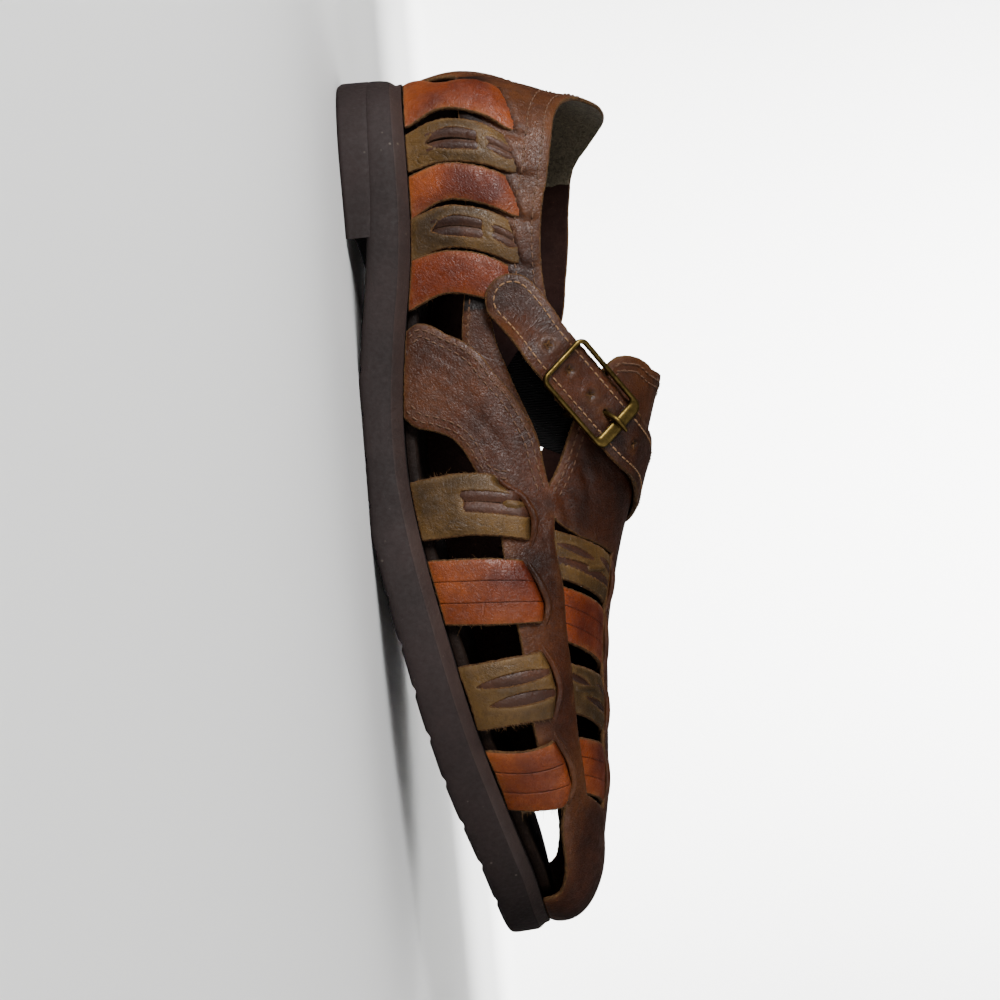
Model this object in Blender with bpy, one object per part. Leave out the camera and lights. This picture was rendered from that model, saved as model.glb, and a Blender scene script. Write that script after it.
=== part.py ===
"""Fisherman sandal, the right shoe of a pair, men's EU 42.

Lengths are in millimetres and become metres when a mesh is made.  +X runs to the toe and +Z is up.
The lateral (outer) side of the shoe is at -Y and the medial (inner) side at +Y.  Z = 0 is the floor.

The upper lies on the surface of the last.  A place on that surface has three values: the side, the
station, which is the distance along the feather line from the heel's back, and the rise, which is the
distance from the feather line up the last towards its ridge.
"""

import math

import bmesh
import bpy
import numpy as np
from mathutils.geometry import delaunay_2d_cdt

MM = 0.001
GAP = 0.3
# The middle of the sole's underside, which becomes the origin.
ORIGIN = np.array((144.7, -0.5, 0.0))

# The last: its plan, from the heel's back along the lateral side to the toe and back on the medial side.
FEATHER = np.array([
    # x, y
    (4.5, 0), (9.5, -17.5), (25, -28), (50, -31), (85, -32.5), (120, -36), (155, -42), (190, -47.5),
    (215, -47.5), (240, -41.5), (261, -30.5), (277, -14), (283.5, 4), (278.5, 19), (263.5, 32), (243, 42),
    (218, 47), (190, 44), (160, 36.5), (130, 30), (100, 28), (70, 29), (45, 30.5), (25, 28), (9.5, 17.5),
], float)
TOE_ROW = 12
HEEL_CENTRE_X = 38.0
TOE_CENTRE_X = 258.0
# Side view of the last: the feather line's height, and the ridge from the heel's centre to the toe's.
FEATHER_HEIGHT = dict(
    x=(0, 40, 55, 70, 88, 115, 132, 153, 181, 219, 240, 270, 290),
    z=(21.5, 21.5, 21, 19.5, 16.5, 13.4, 13.2, 15.5, 20.6, 28.8, 34.5, 42.0, 45.5),
)
RIDGE = dict(
    x=(38, 70, 95, 110, 125, 140, 160, 175, 190, 210, 230, 245, 258),
    y=(0, 0, 2, 4, 5.5, 7, 8.5, 9, 9, 8.5, 8, 7, 6),
    z=(110, 108, 101, 94.5, 89.5, 84.5, 77.5, 73.5, 70, 68, 66, 64.5, 62),
)
# Squareness of the last's cross section on each side, how far its side swells past the feather line, and
# the share of its height at which that ends.
SQUARENESS = dict(
    x=(38, 70, 100, 130, 160, 190, 230, 258),
    lateral=(3.4, 3.2, 2.9, 2.6, 2.35, 2.25, 2.25, 2.3),
    medial=(3.4, 3.2, 2.9, 2.6, 2.5, 2.5, 2.5, 2.4),
)
SWELL = dict(
    x=(0, 25, 60, 100, 150, 258),
    out=(4.5, 2.4, 1.5, 1.5, 1.5, 1.0),
    end=(0.5, 0.6, 0.8, 0.8, 0.8, 0.8),
)
# How far the top of the last's heel leans forward.
LEAN = dict(x=(4.5, 10, 25, 50, 70), forward=(10.5, 8, 3, 0, 0))

# Leather of the upper.
PANEL = 2.2
STRAP = 1.8
STRAP_LIFT = 2.2
LIP_LIFT = 1.3
STRAP_BOW = 0.9
BAND_FOOT = 17.5
SLIT = 33.0
EDGE_STEP = 6.0
FACE_STEP = 9.5
PLAN_STRETCH = 2.4
END_STRETCH = 1.6

# Sole unit.
SOLE_TREAD = dict(
    x=(-6, 0, 50, 70, 88, 97, 106, 151, 155, 162, 171, 181, 190, 199, 208, 217, 227, 237, 247, 258, 270, 284,
       296),
    z=(9.4, 9.2, 7.4, 5.0, 2.3, 0.9, 0, 0, 0.5, 1.9, 3.5, 5.3, 7.3, 9.0, 10.8, 12.9, 15.2, 17.9, 20.8, 23.9,
       26.6, 29.3, 31.3),
)
SOLE_STEPS = (
    # name, outward from the feather line, down from the top, whether it is measured from the tread
    ("seat", 2.6, 0.0, False),
    ("shoulder", 5.2, 3.4, False),
    ("wall top", 5.8, 4.6, False),
    ("wall foot", 6.2, 1.8, True),
    ("tread", 5.2, 0.0, True),
)
TOE_TRIM = 1.0
HEEL_TRIM = 2.4
HEEL_BREAST_X = 56.0
HEEL_BREAST_SAG = 5.5
HEEL_BREAST_SLANT = 3.0
HEEL_REAR_BEVEL = 2.0
LUG_PITCH = 14.2
LUG_GROOVE = 2.6
LUG_DEPTH = 1.8
FOREFOOT_GROOVES_FROM = 99.5
FOREFOOT_GROOVES = 13
HEEL_GROOVES = (15.0, 29.0)
INSOLE_STEPS = ((-2.0, 0.3), (-1.6, 1.1), (-1.6, 3.3), (-2.4, 3.8))
SEAT_GAP = 0.75
SEAT_TOE_GAP = 0.6

# Instep strap and buckle.
STRAP_WIDTH = 16.0
STRAP_THICK = 1.9
CHAPE_WIDTH = 14.0
CHAPE_THICK = 1.4
CHAPE_BEGIN = 12.5
BUCKLE_LONG = 31.0
BUCKLE_WIDE = 20.0
BUCKLE_CORNER = 3.0
BUCKLE_SIDE_BAR = 1.6
BUCKLE_FRONT_BAR = 4.2
BUCKLE_BAR_THICK = 1.8
BAR_CORNER = BUCKLE_BAR_THICK / 2 * math.sqrt(2)
PRONG_THICK = 1.7
PRONG_HOLE = 2.4
PRONG_SLOT = (0.6, 6.6)


# ---------------------------------------------------------------- curves and the last's surface

def smooth(x, table, column):
    """The named column of a table at x, on a smooth curve through its rows."""
    return hermite(x, table["x"], table[column])


def hermite(x, xs, ys):
    xs = np.asarray(xs, float)
    ys = np.asarray(ys, float)
    step = np.diff(xs)
    rise = np.diff(ys) / step
    slope = np.empty_like(ys)
    slope[0] = rise[0]
    slope[-1] = rise[-1]
    slope[1:-1] = (step[1:] * rise[:-1] + step[:-1] * rise[1:]) / (step[1:] + step[:-1])
    x = np.clip(np.asarray(x, float), xs[0], xs[-1])
    i = np.clip(np.searchsorted(xs, x, side="right") - 1, 0, len(xs) - 2)
    t = (x - xs[i]) / step[i]
    return (
        (2 * t**3 - 3 * t**2 + 1) * ys[i] + (t**3 - 2 * t**2 + t) * step[i] * slope[i]
        + (3 * t**2 - 2 * t**3) * ys[i + 1] + (t**3 - t**2) * step[i] * slope[i + 1]
    )


def closed_curve(points, count):
    """Points of a smooth closed curve, with the distance along it of each, and of each given point."""
    loop = np.vstack([points, points[:1]])
    along = np.concatenate([[0], np.cumsum(np.linalg.norm(np.diff(loop, axis=0), axis=1))])
    total = along[-1]
    more = 3
    knots = np.concatenate([along[-1 - more:-1] - total, along, along[1:1 + more] + total])
    rows = np.concatenate([loop[-1 - more:-1], loop, loop[1:1 + more]])
    u = np.linspace(0, total, count)
    return u, np.stack([hermite(u, knots, rows[:, k]) for k in (0, 1)], -1), along


STATIONS, FEATHER_LINE, FEATHER_ROWS = closed_curve(FEATHER, 1601)
GIRTH = STATIONS[-1]
TOE_STATION = FEATHER_ROWS[TOE_ROW]


def feather_point(u):
    u = np.mod(u, GIRTH)
    return np.stack([np.interp(u, STATIONS, FEATHER_LINE[:, k]) for k in (0, 1)], -1)


def feather_height(x):
    return smooth(x, FEATHER_HEIGHT, "z")


def station_centre(x):
    """The middle of the last that a station's section runs to: it fans round the heel and the toe."""
    x = np.clip(x, HEEL_CENTRE_X, TOE_CENTRE_X)
    return np.stack([x, smooth(x, RIDGE, "y")], -1)


def section(u, t):
    """The last's surface at distance u along the feather line, t from 0 there to 1 at the ridge."""
    foot = feather_point(u)
    centre = station_centre(foot[..., 0])
    lateral = np.mod(u, GIRTH) < TOE_STATION
    squareness = np.where(
        lateral,
        smooth(centre[..., 0], SQUARENESS, "lateral"),
        smooth(centre[..., 0], SQUARENESS, "medial"),
    )
    angle = np.clip(t, 0, 1) * math.pi / 2
    inward = 1 - np.maximum(np.cos(angle), 0) ** (2 / squareness)
    upward = np.sin(angle) ** (2 / squareness)
    base = feather_height(foot[..., 0])
    top = smooth(centre[..., 0], RIDGE, "z")
    out = foot - centre
    out = out / np.linalg.norm(out, axis=-1)[..., None]
    swell_end = smooth(foot[..., 0], SWELL, "end")
    swell = smooth(foot[..., 0], SWELL, "out") * np.sin(np.clip(upward / swell_end, 0, 1) * math.pi)
    lean = smooth(foot[..., 0], LEAN, "forward") * upward**0.9
    plan = foot + (centre - foot) * inward[..., None] + out * (swell - lean)[..., None]
    return np.concatenate([plan, (base + (top - base) * upward)[..., None]], -1)


SECTION_T = np.concatenate([[0], np.geomspace(1e-5, 1, 70)])


def rises(u):
    """For each station, the distance up the last to each of SECTION_T."""
    u = np.atleast_1d(u)
    points = section(u[:, None] + 0 * SECTION_T, SECTION_T + 0 * u[:, None])
    steps = np.linalg.norm(np.diff(points, axis=1), axis=2)
    return np.concatenate([np.zeros((len(u), 1)), np.cumsum(steps, axis=1)], axis=1)


def half_girth(u):
    return rises(u)[:, -1]


def on_plan(u, rise):
    """The place of a station and rise on the flattened plan of the last."""
    foot = feather_point(u)
    centre = station_centre(foot[0])
    return centre + (foot - centre) * (1 - rise / half_girth(u)[0])


def lateral(station, rise):
    return on_plan(station, rise)


def medial(station, rise):
    return on_plan(GIRTH - station, rise)


def below_ridge(station, drop):
    """A place on the lateral side, this far short of the ridge."""
    return on_plan(station, half_girth(station)[0] - drop)


def below_ridge_medial(station, drop):
    return on_plan(GIRTH - station, half_girth(GIRTH - station)[0] - drop)


LATERAL_HALF = STATIONS <= TOE_STATION
FAN = {
    name: (
        np.arctan2(line[:, 1] - centre[1], (line[:, 0] - centre[0]) * sign),
        u,
    )
    for name, centre, sign, line, u in (
        (
            "toe", station_centre(TOE_CENTRE_X), 1,
            FEATHER_LINE[FEATHER_LINE[:, 0] >= TOE_CENTRE_X - 1],
            STATIONS[FEATHER_LINE[:, 0] >= TOE_CENTRE_X - 1],
        ),
        (
            "heel", station_centre(HEEL_CENTRE_X), -1,
            np.vstack([FEATHER_LINE[800:], FEATHER_LINE[:800]])[
                np.concatenate([FEATHER_LINE[800:, 0], FEATHER_LINE[:800, 0]]) <= HEEL_CENTRE_X + 1],
            np.concatenate([STATIONS[800:] - GIRTH, STATIONS[:800]])[
                np.concatenate([FEATHER_LINE[800:, 0], FEATHER_LINE[:800, 0]]) <= HEEL_CENTRE_X + 1],
        ),
    )
}


def from_plan(q):
    """Station and share of the half girth (0 at the feather line, 1 at the ridge) of plan points."""
    q = np.atleast_2d(q)
    centre = station_centre(q[:, 0])
    is_lateral = q[:, 1] < centre[:, 1]
    lat_line = FEATHER_LINE[LATERAL_HALF]
    med_line = FEATHER_LINE[~LATERAL_HALF][::-1]
    u = np.where(
        is_lateral,
        np.interp(q[:, 0], lat_line[:, 0], STATIONS[LATERAL_HALF]),
        np.interp(q[:, 0], med_line[:, 0], STATIONS[~LATERAL_HALF][::-1]),
    )
    for name, where, sign in (("toe", q[:, 0] > TOE_CENTRE_X, 1), ("heel", q[:, 0] < HEEL_CENTRE_X, -1)):
        angles, along = FAN[name]
        order = np.argsort(angles)
        angle = np.arctan2(q[:, 1] - centre[:, 1], (q[:, 0] - centre[:, 0]) * sign)
        u = np.where(where, np.interp(angle, angles[order], along[order]), u)
    foot = feather_point(u)
    reach = np.linalg.norm(foot - centre, axis=1)
    return u, np.clip(1 - np.linalg.norm(q - centre, axis=1) / reach, 0, 1)


def at_share(u, share):
    """Points of the last at a station and a share of its half girth."""
    table = rises(u)
    t = np.array([np.interp(s * row[-1], row, SECTION_T) for s, row in zip(share, table)])
    return section(u, t)


def last_point(q):
    u, share = from_plan(q)
    return at_share(u, share)


def last_normal(q):
    """Outward unit normals at plan points."""
    u, share = from_plan(q)
    share = np.clip(share, 0.012, 0.985)
    du = 0.4
    dv = 0.006
    along = at_share(u + du, share) - at_share(u - du, share)
    up = at_share(u, share + dv) - at_share(u, share - dv)
    normal = np.cross(along, up)
    return normal / np.linalg.norm(normal, axis=1)[:, None]


def rise_at(q):
    u, share = from_plan(q)
    return share * half_girth(u)


# ---------------------------------------------------------------- meshes

def material(name, colour, roughness, metallic=0.0):
    found = bpy.data.materials.new(name)
    found.use_nodes = True
    shader = found.node_tree.nodes["Principled BSDF"]
    shader.inputs["Base Color"].default_value = (*colour, 1)
    shader.inputs["Roughness"].default_value = roughness
    shader.inputs["Metallic"].default_value = metallic
    return found


def add_object(name, points, faces, finish):
    mesh = bpy.data.meshes.new(name)
    placed = (np.asarray(points, float) - ORIGIN) * MM
    mesh.from_pydata([tuple(p) for p in placed], [], [tuple(f) for f in faces])
    mesh.validate()
    mesh.materials.append(finish)
    made = bpy.data.objects.new(name, mesh)
    bpy.context.scene.collection.objects.link(made)
    return made


def outward(obj):
    work = bmesh.new()
    work.from_mesh(obj.data)
    bmesh.ops.recalc_face_normals(work, faces=work.faces)
    work.to_mesh(obj.data)
    work.free()


def boolean(obj, other, operation):
    step = obj.modifiers.new(operation.lower(), "BOOLEAN")
    step.operation = operation
    step.solver = "EXACT"
    step.object = other
    other.hide_render = True
    other.display_type = "WIRE"


def ring_solid(name, rings, finish):
    """A closed solid through rings of equal length, its first and last ring capped across their middles."""
    count = len(rings[0])
    points = np.vstack(rings)
    faces = []
    for r in range(len(rings) - 1):
        for i in range(count):
            j = (i + 1) % count
            faces.append((r * count + i, r * count + j, (r + 1) * count + j, (r + 1) * count + i))
    half = count // 2
    for r in (0, len(rings) - 1):
        for i in range(half):
            a, b = i, i + 1
            c, d = (count - i - 1) % count, (count - i) % count
            quad = [r * count + k for k in dict.fromkeys((a, b, c, d))]
            if len(quad) > 2:
                faces.append(quad)
    made = add_object(name, points, faces, finish)
    outward(made)
    return made


def box_points(size, centre, turn=0.0):
    """The eight corners of a box, turned by an angle about Y."""
    corners = np.array([(x, y, z) for x in (-0.5, 0.5) for y in (-0.5, 0.5) for z in (-0.5, 0.5)]) * size
    c, s = math.cos(turn), math.sin(turn)
    x, y, z = corners.T
    return np.stack([x * c + z * s, y, z * c - x * s], 1) + np.asarray(centre, float)


BOX_FACES = ((0, 1, 3, 2), (4, 6, 7, 5), (0, 4, 5, 1), (2, 3, 7, 6), (0, 2, 6, 4), (1, 5, 7, 3))


# ---------------------------------------------------------------- the upper: one wall with raised strips

REAR_STRAPS = (
    # name, station of its rear and front edge at the sole, at the waist and at its slit in the band
    ("rear_tan_1", 14.5, 35, 17, 31.5, 26.5, 41),
    ("rear_olive_1", 38.5, 50, 35, 48, 43.5, 54),
    ("rear_tan_2", 52, 65, 49.6, 60.5, 56, 68),
    ("rear_olive_2", 67, 78.5, 63, 75.5, 70, 82.5),
    ("rear_tan_3", 80.5, 94, 77, 90, 84.5, 97),
)
# The last rear strap is broader on the medial side.
INNER_REAR_TAN_3 = (80.5, 98.5, 77, 98, 84.5, 98.5)
WAIST = 10.0
FRONT_STRAPS = (
    # name, rear and front edge at the sole, halfway, at the side spine; the spine's rise there
    ("olive_1", 149, 167, 148, 167, 152, 171, 31.0),
    ("tan_1", 174, 193.5, 175, 195, 178, 196, 29.5),
    ("olive_2", 207, 226, 206, 225, 204.5, 225, 26.0),
    ("tan_2", 233, 252, 234, 253, 231, 252, 20.5),
)
CROSS_STRAPS = (
    # name, rear and front edge at the side spine, and at the inner spine; the side spine's rise there
    ("cross_olive_1", 166, 181, 180, 195, 35.0),
    ("cross_tan_1", 184, 201.5, 198, 216, 34.5),
    ("cross_olive_2", 208.5, 224, 220, 237, 31.0),
    ("cross_tan_2", 232, 251, 241.5, 261, 26.0),
)
INNER_STRAPS = (
    # name, rear and front edge at the sole and at the inner spine, on the medial side
    ("inner_olive_1", 165, 185, 176.5, 197),
    ("inner_tan_1", 197.5, 217.5, 201, 221.5),
    ("inner_olive_2", 221, 238, 224, 242),
    ("inner_tan_2", 240.5, 260, 244.5, 264),
)
INNER_SPINE = dict(near=21.0, far=7.0, begin=168.0, end=262.0)
COLLAR = (
    # station (medial stations are negative), rise of the collar's edge
    (-104, 48), (-94, 50), (-78, 50.5), (-57, 52), (-42, 54.5), (-31, 61), (-18, 67), (-5, 67), (5, 64),
    (15, 57), (24, 51.5), (33, 47.6), (47, 44.6), (58, 42.4), (66, 40.6), (78, 40.1), (90, 41.8),
    (100, 45.2), (107, 50),
)
SIDE_SPINE = (
    # station, rise of its outer edge, of the slits that the straps go into, and of its inner edge
    (152, 27.5, 27.5, 41.5), (156, 26.6, 32.5, 42.0), (163, 25.0, 34.5, 41.5), (170, 23.6, 33.2, 40.0),
    (177, 22.8, 29.5, 39.4), (184, 22.2, 30.8, 39.4), (191, 21.6, 31.8, 38.6), (197, 21.0, 30.0, 37.6),
    (203, 20.4, 26.8, 37.0), (210, 19.4, 28.0, 36.4), (217, 18.0, 28.0, 35.0), (225, 16.6, 24.5, 33.4),
    (231, 15.8, 21.8, 32.0), (239, 15.2, 23.0, 30.8), (247, 15.6, 22.4, 29.2), (253, 17.5, 18.5, 27.6),
)
WING_REAR = (
    # station, rise
    (101, 0), (99, 3), (100, 7), (103, 12), (106, 17.6), (110.5, 23), (117, 27.8), (123, 32.6), (130, 36.5),
    (139, 40), (148, 41), (153, 41.6),
)
WING_FRONT = (
    # station, rise
    (152, 27.5), (150, 22), (146, 20.2), (141, 18.2), (136, 14.6), (133, 8.8), (131, 3), (128, 0),
)
INNER_WING_SHIFT = 5.0
INNER_WING_FRONT = (
    (173, 56), (171, 47), (168, 38), (163, 30), (157, 24), (151.5, 18), (148.5, 11), (147, 4), (146.5, 0),
)
TOE_EDGE = (
    # station, rise of the toe opening's upper edge
    (292, 0), (288.5, 5.4), (283, 8), (272, 11), (261, 13.6), (253, 17.5),
)
FLAP_SIDE = (
    # station, rise, from the notch beside the wing to the flap's top
    (154, 42), (149, 45.6), (142, 49.3), (135, 52.4), (125, 58), (117.5, 63.2), (114.2, 68), (114.5, 75),
    (118, 83),
)
QUARTER_LOWER = (
    # station, rise
    (93, BAND_FOOT), (106, 18.0), (118, 21), (130, 28), (143, 36), (150, 39),
)
QUARTER_UPPER = (
    # station, rise
    (149, 41.6), (138, 40.4), (127, 36.4), (115, 31.4), (107, 28.0), (98, 25.6),
)
INNER_QUARTER_UPPER = (
    # station, rise
    (149, 41.6), (138, 40.2), (127, 37.5), (117, 35.6), (111, 35.4),
)
CHAPE_ROOT = (
    # station, rise
    (103, 32.5), (110, 38.5), (115, 43.5), (113, 50), (108, 50.6),
)
GORE = (
    # station, rise of the elastic gore that closes the throat beside the flap
    (139, 38), (129, 35), (117, 31), (109, 36), (109, 48), (114, 56), (119, 65), (127, 60), (136, 55),
    (145, 51),
)
MEDIAL_ROOT = (
    # station, rise
    (110, 36), (110, 41), (108.5, 46), (104, 48),
)
# Half width of the strip up the heel's back at the sole, at its waist and at the band.
BACKSTAY = (9.0, 6.5, 11.0)


def side_strap(place, foot, waist, top, waist_rise, top_rise):
    """Outline of a strap between two curved edges that start at the sole."""
    rear = [(foot[0], 0), (waist[0], waist_rise), (top[0], top_rise)]
    front = [(foot[1], 0), (waist[1], waist_rise), (top[1], top_rise)]
    heights = np.linspace(0, top_rise, 7)
    rear = hermite(heights, [p[1] for p in rear], [p[0] for p in rear])
    front = hermite(heights, [p[1] for p in front], [p[0] for p in front])
    return [place(s, h) for s, h in zip(rear, heights)] + [place(s, h) for s, h in zip(front, heights)][::-1]


def collar_place(station, rise):
    return lateral(station, rise) if station >= 0 else medial(-station, rise)


def quarter_front(place, sign):
    """The quarter's lower front, which runs under the wing to the notch, and the root of the chape."""
    lower = [place(s, r) for s, r in QUARTER_LOWER]
    upper = [place(s, r) for s, r in (QUARTER_UPPER if sign > 0 else INNER_QUARTER_UPPER)]
    root = [place(s, r) for s, r in (CHAPE_ROOT if sign > 0 else MEDIAL_ROOT)]
    return lower, upper, root


def band_outline():
    collar = [collar_place(s, r) for s, r in COLLAR]
    lat_low, lat_up, lat_root = quarter_front(lateral, 1)
    med_low, med_up, med_root = quarter_front(medial, -1)
    foot = [collar_place(s, BAND_FOOT) for s in np.linspace(-84, 84, 25)]
    front = lat_root[::-1][1:] + lat_up[::-1] + lat_low[::-1]
    return collar + front + foot[::-1] + med_low + med_up + med_root[:-1]


def upper_pieces():
    """Each piece of leather as name, kind and outline on the plan."""
    pieces = [("quarter_band", "panel", band_outline())]
    for place, tag in ((lateral, "lateral"), (medial, "medial")):
        for name, *row in REAR_STRAPS:
            if place is medial and name == "rear_tan_3":
                row = INNER_REAR_TAN_3
            f0, f1, w0, w1, t0, t1 = row
            outline = side_strap(place, (f0, f1), (w0, w1), (t0, t1), WAIST, SLIT)
            pieces.append((f"{tag}_{name}", "rear strap", outline))
    foot, waist, top = BACKSTAY
    rises_up = np.linspace(0, BAND_FOOT + 2, 5)
    half = hermite(rises_up, (0, 9, BAND_FOOT + 2), (foot, waist, top))
    stay = [lateral(s, r) for s, r in zip(half, rises_up)]
    stay += [medial(s, r) for s, r in zip(half, rises_up)][::-1]
    pieces.append(("backstay", "panel", stay))

    wing = [lateral(s, r) for s, r in WING_REAR] + [lateral(163, 41), lateral(163, 35), lateral(156, 33)]
    wing += [lateral(s, r) for s, r in WING_FRONT]
    pieces.append(("lateral_wing", "panel", wing))
    shift = INNER_WING_SHIFT
    inner = [medial(s + shift * (1 - r / 42), r) for s, r in WING_REAR]
    inner += [medial(160, 52), medial(172, 64)]
    inner += [medial(s, r) for s, r in INNER_WING_FRONT]
    pieces.append(("medial_wing", "panel", inner))

    pieces.append(("elastic_gore", "panel", [lateral(s, r) for s, r in GORE]))

    spine = [lateral(s, a) for s, a, _, _ in SIDE_SPINE] + [lateral(262, 24), lateral(262, 30)]
    spine += [lateral(s, b) for s, _, _, b in SIDE_SPINE][::-1]
    pieces.append(("side_spine", "panel", spine))
    near, far = INNER_SPINE["near"], INNER_SPINE["far"]
    along = np.linspace(INNER_SPINE["begin"], INNER_SPINE["end"] + 4, 15)
    centre = [below_ridge(s, near) for s in along] + [below_ridge(s, far) for s in along][::-1]
    pieces.append(("inner_spine", "panel", centre))

    for name, f0, f1, m0, m1, t0, t1, rise in FRONT_STRAPS:
        outline = side_strap(lateral, (f0, f1), (m0, m1), (t0, t1), rise * 0.5, rise + 6)
        pieces.append((f"lateral_{name}", "strap", outline))
    for name, s0, s1, i0, i1, rise in CROSS_STRAPS:
        share = np.linspace(0, 1, 5)
        rear = []
        front = []
        for k in share:
            for edge, a, b in ((rear, s0, i0), (front, s1, i1)):
                station = a + (b - a) * k
                top = half_girth(station)[0] - near + 4
                edge.append(lateral(station, rise + (top - rise) * k))
        pieces.append((name, "strap", rear + front[::-1]))
    for name, f0, f1, t0, t1 in INNER_STRAPS:
        rear = []
        front = []
        for k in np.linspace(0, 1, 8):
            for edge, a, b in ((rear, f0, t0), (front, f1, t1)):
                station = a + (b - a) * k
                top = half_girth(GIRTH - station)[0] - 0.5
                edge.append(medial(station, top * k))
        rear.append(below_ridge(t0, far + 3))
        front.append(below_ridge(t1, far + 3))
        pieces.append((f"medial_{name}", "strap", rear + front[::-1]))

    toe = [lateral(s, r) for s, r in TOE_EDGE] + [lateral(253, 27.6), below_ridge(262, near)]
    toe += [below_ridge_medial(256, 12), medial(255, 30), medial(255, 17.5)]
    toe += [medial(s, r) for s, r in TOE_EDGE][::-1][1:]
    toe += [lateral(s, 0) for s in np.linspace(GIRTH - 292, 292, 12)[1:-1]]
    pieces.append(("toe_band", "panel", toe))

    flap = [lateral(s, r) for s, r in FLAP_SIDE] + [below_ridge(119, 12), below_ridge_medial(119, 10)]
    flap += [medial(118, 82), medial(114.5, 74), medial(114.2, 67), medial(117.5, 61), medial(125, 54.5)]
    flap += [medial(133, 47.5), medial(140, 43.2), medial(147, 40.5), medial(155, 40)]
    flap += [medial(168, 50), medial(173, 62)]
    flap += [below_ridge_medial(177, 6), below_ridge(179, 10), below_ridge(176, 24), lateral(170, 50)]
    flap += [lateral(164, 42), lateral(160, 40.5)]
    pieces.append(("vamp_flap", "panel", flap))

    for name, f0, f1, m0, m1, t0, t1, rise in FRONT_STRAPS:
        stations = np.linspace(t0 - 1.0, t1 + 1.0, 5)
        spine_at, _, spine_rise, _ = np.transpose(SIDE_SPINE)
        edge = list(zip(stations, np.interp(stations, spine_at, spine_rise)))
        outline = [lateral(s, r + 0.2) for s, r in edge] + [lateral(s, r + 3.6) for s, r in edge][::-1]
        pieces.append((f"lip_{name}", "lip", outline))
    for name, s0, s1, i0, i1, rise in CROSS_STRAPS:
        stations = np.linspace(i0 - 0.5, i1 + 0.5, 4)
        outline = [below_ridge(s, near - 0.2) for s in stations]
        outline += [below_ridge(s, near - 3.6) for s in stations][::-1]
        pieces.append((f"lip_{name}", "lip", outline))
    return pieces


def densified(outline):
    """The outline with points so close that it follows the last's surface."""
    dense = []
    loop = [np.asarray(p, float) for p in outline]
    for a, b in zip(loop, loop[1:] + loop[:1]):
        probe = last_point(np.array([a + (b - a) * k for k in np.linspace(0, 1, 5)]))
        length = np.linalg.norm(np.diff(probe, axis=0), axis=1).sum()
        if length < 0.3:
            continue
        count = max(1, math.ceil(length / EDGE_STEP))
        dense.extend(a + (b - a) * k / count for k in range(count))
    return dense


def inner_points():
    """Plan points about a face step apart over the whole last."""
    points = []
    for station in np.arange(0, GIRTH, FACE_STEP):
        girth = half_girth(station)[0]
        for rise in np.arange(FACE_STEP * 0.7, girth - 2, FACE_STEP):
            points.append(on_plan(station, rise))
    ridge = [station_centre(np.array(x)) for x in np.arange(102, TOE_CENTRE_X, FACE_STEP)]
    return points + ridge


def layer(kinds, rise, joined):
    """Lowest and highest offset from the last of the leather at a point, from the pieces that lie there."""
    low = 0.0
    high = 0.0
    if "panel" in kinds:
        high = PANEL
    if "lip" in kinds:
        high = PANEL + LIP_LIFT
    if "strap" in kinds and "panel" not in kinds:
        bow = 0.0 if joined else STRAP_BOW
        low = bow * math.sin(math.pi * min(rise / 24.0, 1.0))
        high = low + STRAP
    if "rear strap" in kinds:
        bow = STRAP_LIFT * math.sin(math.pi * 0.5 * min(rise / BAND_FOOT, 1.0))
        fade = min(1.0, max(0.0, (SLIT - rise) / 6.0))
        if "panel" in kinds:
            high = max(PANEL, STRAP + STRAP_LIFT * fade + 0.4 * fade)
        else:
            low = bow
            high = bow + STRAP
    return low, high


def stretched(plan):
    """The plan drawn out sideways and at both ends, where the last is steep: faces keep their shape."""
    x, y = np.transpose(plan)
    ends = np.maximum(x - TOE_CENTRE_X, 0) + np.minimum(x - HEEL_CENTRE_X, 0)
    return np.column_stack([x + END_STRETCH * ends, y * PLAN_STRETCH])


def unstretched(flat):
    x, y = np.transpose(flat)
    ends = np.maximum(x - TOE_CENTRE_X, 0) + np.minimum(x - HEEL_CENTRE_X, 0)
    return np.column_stack([x - END_STRETCH / (1 + END_STRETCH) * ends, y / PLAN_STRETCH])


def signed_area(loop):
    x, y = loop.T
    return float(x @ np.roll(y, -1) - y @ np.roll(x, -1)) / 2


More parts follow.
